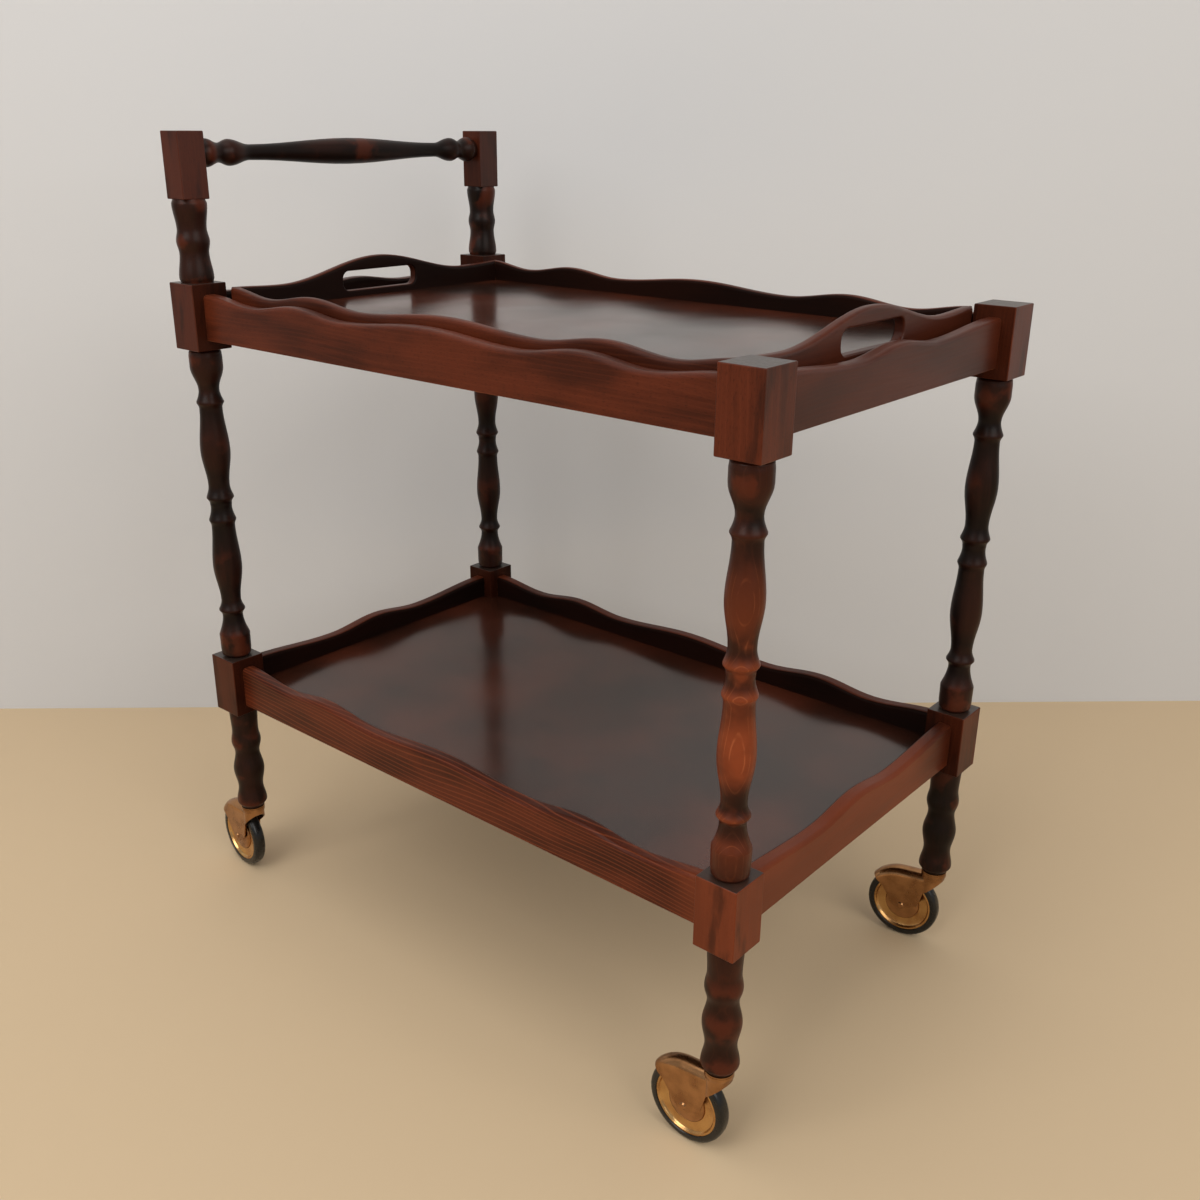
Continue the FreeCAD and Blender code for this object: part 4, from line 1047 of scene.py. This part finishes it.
def wall_points(half, height_at):
    """Top edge of a wall's outer face, on y = 0 but turning in at the rounded corners."""
    run = half - TRAY_CORNER
    ends = []
    for step in range(CORNER_STEPS, 0, -1):
        turn = MITRE * step / CORNER_STEPS
        ends.append((run + TRAY_CORNER * math.sin(turn), TRAY_CORNER * (1 - math.cos(turn))))
    flat = [(-run + 2 * run * step / WALL_STEPS, 0.0) for step in range(WALL_STEPS + 1)]
    plan = [(-x, y) for x, y in ends] + flat + list(reversed(ends))
    return [(x, y, height_at(abs(x) / half)) for x, y in plan]


def height_between(knots):
    """Height at a share of the half length, eased from knot to knot."""
    def height_at(share):
        for (along, height), (next_along, next_height) in zip(knots, knots[1:]):
            if share <= next_along:
                part = max(0.0, (share - along) / (next_along - along))
                return height + (next_height - height) * (1 - math.cos(math.pi * part)) / 2
        return knots[-1][1]
    return height_at


def tray_board(name, length, knots):
    """One wall along X with its outer face on y = 0, mitred at both ends."""
    half = length / 2
    piece = board_from_edge(name, wall_points(half, height_between(knots)), 0.0, (0, TRAY_WALL, 0))
    for side in (-1, 1):
        bpy.ops.mesh.select_all(action="SELECT")
        bpy.ops.mesh.bisect(plane_co=(side * half, 0, 0), plane_no=(side, 1, 0), use_fill=True,
                            clear_outer=True)
    crest = min(height for _, height in knots) - NEAR
    pick_edges(piece, lambda a, b: min(a.z, b.z) > crest and abs(a.x - b.x) > HAIR
               and max(abs(abs(p.x) + p.y - half) for p in (a, b)) > HAIR
               and abs(a.y - b.y) < TRAY_CORNER / 2)
    bpy.ops.mesh.bevel(offset=TRAY_ROUND, segments=ROUND_STEPS, profile=0.5)
    return close_and_smooth(piece, BOARD_ANGLE)


print("tray", [round(side / MM, 1) for side in tray_size], "mm")

# %% [markdown]
# # Long sides of the tray
# The two long sides are the same board, so the second is a copy that is turned half a circle about the
# upright axis before it is moved to its place.

# %% Make the tray sides
TRAY_WAVE = 6.8 * MM
TRAY_SIDE_SHARES = [(0.0, 1.0), (0.36, 0.0), (0.585, 1.0), (0.8, 0.0), (1.0, 1.0)]


def stand_wall(piece, node, grain, turn, x, y):
    """Turn a wall, stand it on the tray's rim and dress it."""
    set_in_place(piece, turn, (x, y, tray_low.z))
    dress(flat_shaded_round(piece), BEECH_ALONG[grain], "tray", "stained_beech", node)


side_knots = [(along, TRAY_SIDE_HEIGHT - TRAY_WAVE * (1 - swell)) for along, swell in TRAY_SIDE_SHARES]
right_side = tray_board("tray_right_side_wood", tray_size.x, side_knots)
left_side = copy_of(right_side, "tray_left_side_wood")
stand_wall(right_side, "tray_right_side", "x", 0, tray_middle.x, tray_low.y)
stand_wall(left_side, "tray_left_side", "x", math.pi, tray_middle.x, tray_high.y)
print("tray side", size_mm(right_side), "mm")

# %% [markdown]
# # Ends of the tray, with hand slots
# Each end swells up in the middle, and fingers go through a slot with rounded ends. The cutter is a cube
# whose four long corners are bevelled into arcs, and a Boolean modifier takes it out of the board. After
# the cut, the rim of the slot is selected by its place and eased with a small bevel, as a router would do
# it.

# %% Make the tray ends
SLOT_LENGTH = 98 * MM
SLOT_HEIGHT = 19.5 * MM
SLOT_RISE = 21.5 * MM
SLOT_CORNER = 8 * MM
SLOT_CORNER_STEPS = 7
SLOT_EASE = 2 * MM
SLOT_EASE_STEPS = 3
TRAY_DIP_SHARE = 0.68
TRAY_DIP = 2 * MM


def slot_cutter():
    """A rounded bar that goes right through a tray end."""
    bpy.ops.object.select_all(action="DESELECT")
    size = Vector((SLOT_LENGTH, 4 * TRAY_WALL, SLOT_HEIGHT))
    bpy.ops.mesh.primitive_cube_add(size=1, location=(0, 0, SLOT_RISE + SLOT_HEIGHT / 2), scale=size)
    cutter = bpy.context.object
    bpy.ops.object.transform_apply(location=True, rotation=True, scale=True)
    pick_edges(cutter, lambda a, b: abs(a.y - b.y) > TRAY_WALL)
    bpy.ops.mesh.bevel(offset=SLOT_CORNER, segments=SLOT_CORNER_STEPS, profile=0.5)
    bpy.ops.object.mode_set(mode="OBJECT")
    return cutter


def tray_end(name):
    """A tray end with its slot cut and eased."""
    knots = [(0.0, tray_size.z), (TRAY_DIP_SHARE, TRAY_SIDE_HEIGHT - TRAY_DIP), (1.0, TRAY_SIDE_HEIGHT)]
    piece = tray_board(name, tray_size.y, knots)
    cutter = slot_cutter()
    cut = piece.modifiers.new("hand_slot", "BOOLEAN")
    cut.operation = "DIFFERENCE"
    cut.object = cutter
    pick(piece)
    bpy.ops.object.modifier_apply(modifier="hand_slot")
    bpy.data.objects.remove(cutter)
    reach = SLOT_LENGTH / 2 + NEAR
    roof = SLOT_RISE + SLOT_HEIGHT + NEAR
    pick_edges(piece, lambda a, b: max(abs(a.x), abs(b.x)) < reach and abs(a.y - b.y) < NEAR
               and min(a.z, b.z) > SLOT_RISE - NEAR and max(a.z, b.z) < roof)
    bpy.ops.mesh.bevel(offset=SLOT_EASE, segments=SLOT_EASE_STEPS, profile=0.5)
    return close_and_smooth(piece, BOARD_ANGLE)


front_end = tray_end("tray_front_end_wood")
rear_end = copy_of(front_end, "tray_rear_end_wood")
stand_wall(front_end, "tray_front_end", "y", math.pi / 2, tray_high.x, tray_middle.y)
stand_wall(rear_end, "tray_rear_end", "y", -math.pi / 2, tray_low.x, tray_middle.y)
print("tray end", size_mm(front_end), "mm, with a slot", round(SLOT_LENGTH / MM), "mm long")

# %% [markdown]
# # Castor wheels
# A castor is a disc wheel in a black tyre, held by a pressed fork that swivels. The wheel's raised hub is
# as coppery as the fork, and the web round it is paler, so they are two spun pieces, which overlap inside
# where nobody sees. They and the tyre are traced and spun like the legs, lying on the Y axis at the origin,
# then turned to the way each castor points and moved to its axle. The joint in the frame tells both.

# %% Turn the wheel discs and tyres
HUB_HALF_MM = [(3.05, 8.0), (5.2, 8.0), (5.9, 7.4), (6.5, 6.4), (8.0, 6.0), (15.0, 5.9), (16.8, 5.5),
               (17.9, 4.5), (18.5, 3.0)]
WEB_HALF_MM = [(17.0, 3.3), (21.0, 3.3), (26.8, 3.4), (27.6, 4.0), (28.1, 5.2), (28.7, 5.9), (29.5, 6.0),
               (30.4, 5.7), (30.5, 5.0)]
TYRE_HALF_MM = [(30.5, 6.0), (31.0, 6.5), (33.6, 6.45), (35.4, 6.0), (36.7, 4.9), (37.3, 3.0), (37.5, 0.0)]
WHEEL_PARTS = {
    "hub": (HUB_HALF_MM, FORK_BRASS, "aged_brass", "wheel_disc"),
    "web": (WEB_HALF_MM, WHEEL_BRASS, "aged_brass", "wheel_disc"),
    "tyre": (TYRE_HALF_MM, RUBBER, "black_rubber", "tyre"),
}
joints = {joint["name"]: joint for joint in frame["joints"]}


def spun_wheel(name, half_outline):
    """A wheel part about the Y axis, from one side of its outline as (radius, half width) in millimetres."""
    outline = [(radius, -across) for radius, across in half_outline] + list(reversed(half_outline))
    outline.append(outline[0])
    points = [(radius * MM, across * MM, 0.0) for radius, across in outline]
    return spun(name, points, (0, 0, 0), (0, 1, 0))


patterns = {kind: spun_wheel(f"{kind}_pattern", outline) for kind, (outline, *_) in WHEEL_PARTS.items()}
for corner in CORNERS:
    roll = joints[f"{corner}_roll"]
    turn = math.atan2(-roll["axis"][0], roll["axis"][1])
    for kind, (_, finish, slot, node) in WHEEL_PARTS.items():
        piece = set_in_place(copy_of(patterns[kind], f"{corner}_{kind}_round"), turn, roll["pos_m"])
        dress(piece, finish, f"{corner}_wheel", slot, f"{corner}_{node}")
for pattern in patterns.values():
    bpy.data.objects.remove(pattern)
print("wheel at", [round(c, 4) for c in joints["front_right_roll"]["pos_m"]])

# %% [markdown]
# # Pressed forks
# The fork is folded from one sheet of brass, with a hood over the wheel and a cheek on each side. Its CAD
# shape is right, but the frame's meshes are loose triangles that shade flat. It could be modelled again. A
# copy that is merged into one skin is enough: smoothing by angle keeps its folds crisp, and weighted
# normals let the hood shine as one surface.

# %% Smooth copies of the forks
FORK_ANGLE = 30


def smooth_copy(node, name):
    """A merged and smoothed copy of a CAD node."""
    piece = copy_of(frame["nodes"][node], name)
    piece.parent = None
    bpy.ops.object.mode_set(mode="EDIT")
    return flat_shaded_round(close_and_smooth(piece, FORK_ANGLE))


for corner in CORNERS:
    fork = smooth_copy(f"{corner}_castor_fork", f"{corner}_fork_pressing")
    dress(fork, FORK_BRASS, f"{corner}_castor", "aged_brass", f"{corner}_castor_fork")
print("a fork has", len(fork.data.vertices), "points after merging")

# %% [markdown]
# # Finishes for the pieces that stay as they are
# The shelf, the tray floor and the small hidden parts are already the right shape. They could be modelled
# again too, but nothing would be gained, so the CAD nodes stay and only get a better finish.

# %% Finish the remaining nodes
KEPT = {
    "lower_shelf": PANEL, "tray_floor": PANEL, "tray_ledgers": BEECH_ALONG["x"], "lower_rail_dowels": BARE,
    "upper_rail_dowels": BARE, "ledger_screws": STEEL, "castor_sockets": FORK_BRASS,
}
for corner in CORNERS:
    KEPT[f"{corner}_castor_stem"] = STEEL
    KEPT[f"{corner}_castor_axle"] = FORK_BRASS
for node, finish in KEPT.items():
    paint(frame["nodes"][node], finish)
print(len(KEPT), "nodes keep their CAD shape")
